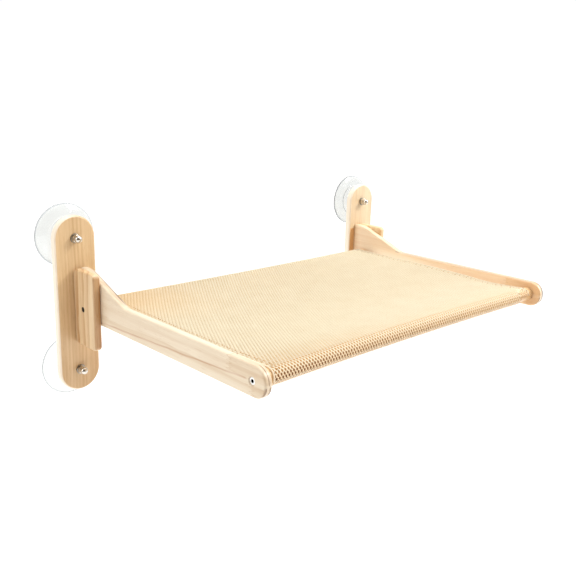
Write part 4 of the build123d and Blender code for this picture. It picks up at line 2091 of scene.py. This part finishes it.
        middle = along(0.0, stitch.depth)
        heading = along(stitch.length / 2, stitch.depth) - along(-stitch.length / 2, stitch.depth)
        heading /= np.linalg.norm(heading, axis=1, keepdims=True)
        up = along(0.0, stitch.depth - MM) - middle
        up -= heading * np.sum(up * heading, 1, keepdims=True)
        up /= np.linalg.norm(up, axis=1, keepdims=True)
        heading = math.cos(stitch.slant) * heading + math.sin(stitch.slant) * np.cross(up, heading)
        points, quads = beads(middle, heading, up, stitch.length, stitch.width)
        return dress(make_object(name, points, [quads]), self.cloths[Cloth.THREAD])

    def stitch_rows(self) -> list[bpy.types.Object]:
        """Rows of stitches along the hems and the front and rear seams.

        Returns:
            The six rows.
        """
        rows = []
        s = np.linspace(0, self.flat_length, self.hem_line_points)
        x = np.linspace(-1, 1, self.seam_line_points) * (self.half_width - self.seam_end)
        for side in Side:
            edge = np.full_like(s, side.value * (self.half_width - self.hem_width + self.hem_stitch_inset))
            rows.append(self.stitches(f"{side.word}_hem_stitches", edge, s, self.hem_stitch))
            rows.append(self.stitches(f"{side.word}_hem_back_stitches", edge, s, self.back_stitch))
        inset = self.seam_stitch_inset
        for name, place in (("front", inset), ("rear", self.flat_length - inset)):
            rows.append(self.stitches(f"{name}_seam_stitches", x, np.full_like(x, place), self.seam_stitch))
        return rows

    def build(self) -> None:
        """Builds every layer of the sling."""
        width, length = 2 * self.half_width, self.flat_length
        face = self.face()
        layers = [
            self.layer("sling_core", self.core_depth, Cloth.CORE),
            self.layer("sling_underside", self.underside_depth, Cloth.UNDERSIDE),
        ]
        hems = [self.hem(side) for side in Side]
        pockets = [self.pocket(end) for end in (1, -1)]
        rows = self.stitch_rows()
        for piece in layers:
            width - 2 * self.layer_inset


# Studio


@dataclass(frozen=True)
class PhotoCamera:
    """Camera at the photograph's place, fitted to the object's edges in a frame of 576 pixels."""

    position: Place = (-0.7156, -0.8764, 0.2828)
    yaw_degrees: float = 43.83
    pitch_degrees: float = -15.28
    roll_degrees: float = 1.72
    focal_pixels: float = 764.3
    frame_pixels: float = 576.0
    sensor_mm: float = 36.0

    def build(self) -> None:
        """Makes the camera and hands it to the scene."""
        degrees = (self.yaw_degrees, self.pitch_degrees, self.roll_degrees)
        yaw, pitch, roll = (math.radians(angle) for angle in degrees)
        forward = Vector((math.sin(yaw) * math.cos(pitch), math.cos(yaw) * math.cos(pitch), math.sin(pitch)))
        level = Vector((math.cos(yaw), -math.sin(yaw), 0.0))
        above = level.cross(forward)
        right = math.cos(roll) * level + math.sin(roll) * above
        up = -math.sin(roll) * level + math.cos(roll) * above
        data = bpy.data.cameras.new("photo_camera")
        data.sensor_width = self.sensor_mm
        data.lens = self.focal_pixels * self.sensor_mm / self.frame_pixels
        camera = bpy.data.objects.new("photo_camera", data)
        turn = Matrix((right, up, -forward)).transposed().to_4x4()
        camera.matrix_world = Matrix.Translation(self.position) @ turn
        bpy.context.scene.collection.objects.link(camera)
        bpy.context.scene.camera = camera


@dataclass(frozen=True)
class Softbox:
    """Square studio lamp that faces the middle of the perch."""

    name: str
    position: Place
    size: float
    power: float
    colour: Colour = (1.0, 1.0, 1.0)

    def build(self, target: Vector) -> None:
        """Makes the lamp.

        Args:
            target: Place that the lamp faces.
        """
        data = bpy.data.lights.new(self.name, "AREA")
        data.size = self.size
        data.energy = self.power
        data.color = self.colour
        lamp = bpy.data.objects.new(self.name, data)
        lamp.location = self.position
        lamp.rotation_euler = (target - Vector(self.position)).to_track_quat("-Z", "Y").to_euler()
        bpy.context.scene.collection.objects.link(lamp)


@dataclass(frozen=True)
class Studio:
    """White room: a pale floor far below the perch, lamps, and a white sky that is darker on one side."""

    floor_height: float = -0.9
    floor_size: float = 14.0
    floor_points: int = 9
    floor_tones: Pair = ((254, 254, 254), (252, 252, 252))
    speck_scale: float = 3.0
    floor_roughness: float = 0.9
    floor_glow: float = 0.2
    sky: float = 1.02
    sky_tint: Colour = (1.0, 1.0, 1.0)
    dark_tint: Colour = (0.16, 0.11, 0.07)
    dark_side: Place = (-0.6, -0.8, 0.0)
    dark_range: Span = (0.3, 0.8)
    lamps: tuple[Softbox, ...] = (
        Softbox("key_lamp", (1.5, -1.5, 1.5), 0.8, 34.0, (1.0, 0.98, 0.95)),
        Softbox("left_lamp", (-2.2, 0.2, 1.0), 1.6, 14.0),
        Softbox("top_lamp", (0.3, -0.2, 2.3), 1.6, 34.0),
    )

    def build_floor(self) -> None:
        """Makes the floor, which glows a little."""
        line = np.linspace(-self.floor_size / 2, self.floor_size / 2, self.floor_points)
        points = np.stack(np.meshgrid(line, line, [self.floor_height]), -1).reshape(-1, 3)
        floor = make_object("studio_floor", points, [grid_faces(self.floor_points, self.floor_points)])
        r = Recipe("pale_floor")
        x, y, _ = r.axes().values()
        pale = r.blend(r.noise(r.vector(x, y), self.speck_scale), self.floor_tones)
        r.feed(r.shader.inputs["Emission Color"], pale)
        floor.data.materials.append(r.finish(pale, self.floor_roughness, emission_strength=self.floor_glow))
        floor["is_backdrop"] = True

    def build_sky(self) -> None:
        """Makes the sky. Its dark side lights the perch but isn't seen by the camera."""
        world = bpy.data.worlds.new("studio_sky")
        world.use_nodes = True
        net = NodeNet(world.node_tree)
        sky = world.node_tree.nodes["Background"]
        inputs = {0: net.value("TexCoord", {}, "Generated"), 1: self.dark_side}
        towards = net.value("VectorMath", inputs, "Value", operation="DOT_PRODUCT")
        share = net.step(towards, *self.dark_range) * (1.0 - net.value("LightPath", {}, "Is Camera Ray"))
        net.feed(sky.inputs["Color"], net.mix(share, (*self.sky_tint, 1.0), (*self.dark_tint, 1.0)))
        sky.inputs["Strength"].default_value = self.sky
        bpy.context.scene.world = world

    def build(self) -> None:
        """Makes the floor, the sky and the lamps."""
        self.build_floor()
        self.build_sky()
        low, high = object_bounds()
        for lamp in self.lamps:
            lamp.build((low + high) / 2)
        bpy.context.scene.view_settings.view_transform = "Standard"


def main() -> None:
    """Builds the studio and every piece of the perch in order."""
    logging.basicConfig(level=logging.INFO, format="%(message)s")
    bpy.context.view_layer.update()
    PhotoCamera().build()
    Studio().build()
    vinyl = VinylFinish("clear_vinyl").material()
    chrome = MetalFinish("chrome", (214, 208, 198), 0.08, 0.04).material()
    steel = MetalFinish("zinc_steel", (168, 160, 148), 0.3).material()
    socket = SocketShade(centre_of("left_front_bolt").y, 0.0)
    bright = MetalFinish("nickel_steel", (236, 236, 234), 0.25, socket=socket).material()
    black = MetalFinish("black_oxide", (58, 56, 54), 0.45).material()
    Boards().build()
    for side in Side:
        for level in Level:
            CupSet(side, level, vinyl, steel, chrome).build()
        FrontBolt(side, bright).build()
        ScrewSet(f"{side.word}_dowel_screw", (-side.value, 0, 0), black, "black_screw",
                 shank_radius=2.25 * MM).build()
        for kind in ("cleat_screws", "arm_screws"):
            ScrewSet(f"{side.word}_{kind}", (0, -1, 0), steel, "steel").build()
        insert = f"{side.word}_insert"
        dress(smooth_copy(insert), steel, nodes=[insert])
    Sling().build()


if __name__ == "__main__":
    main()
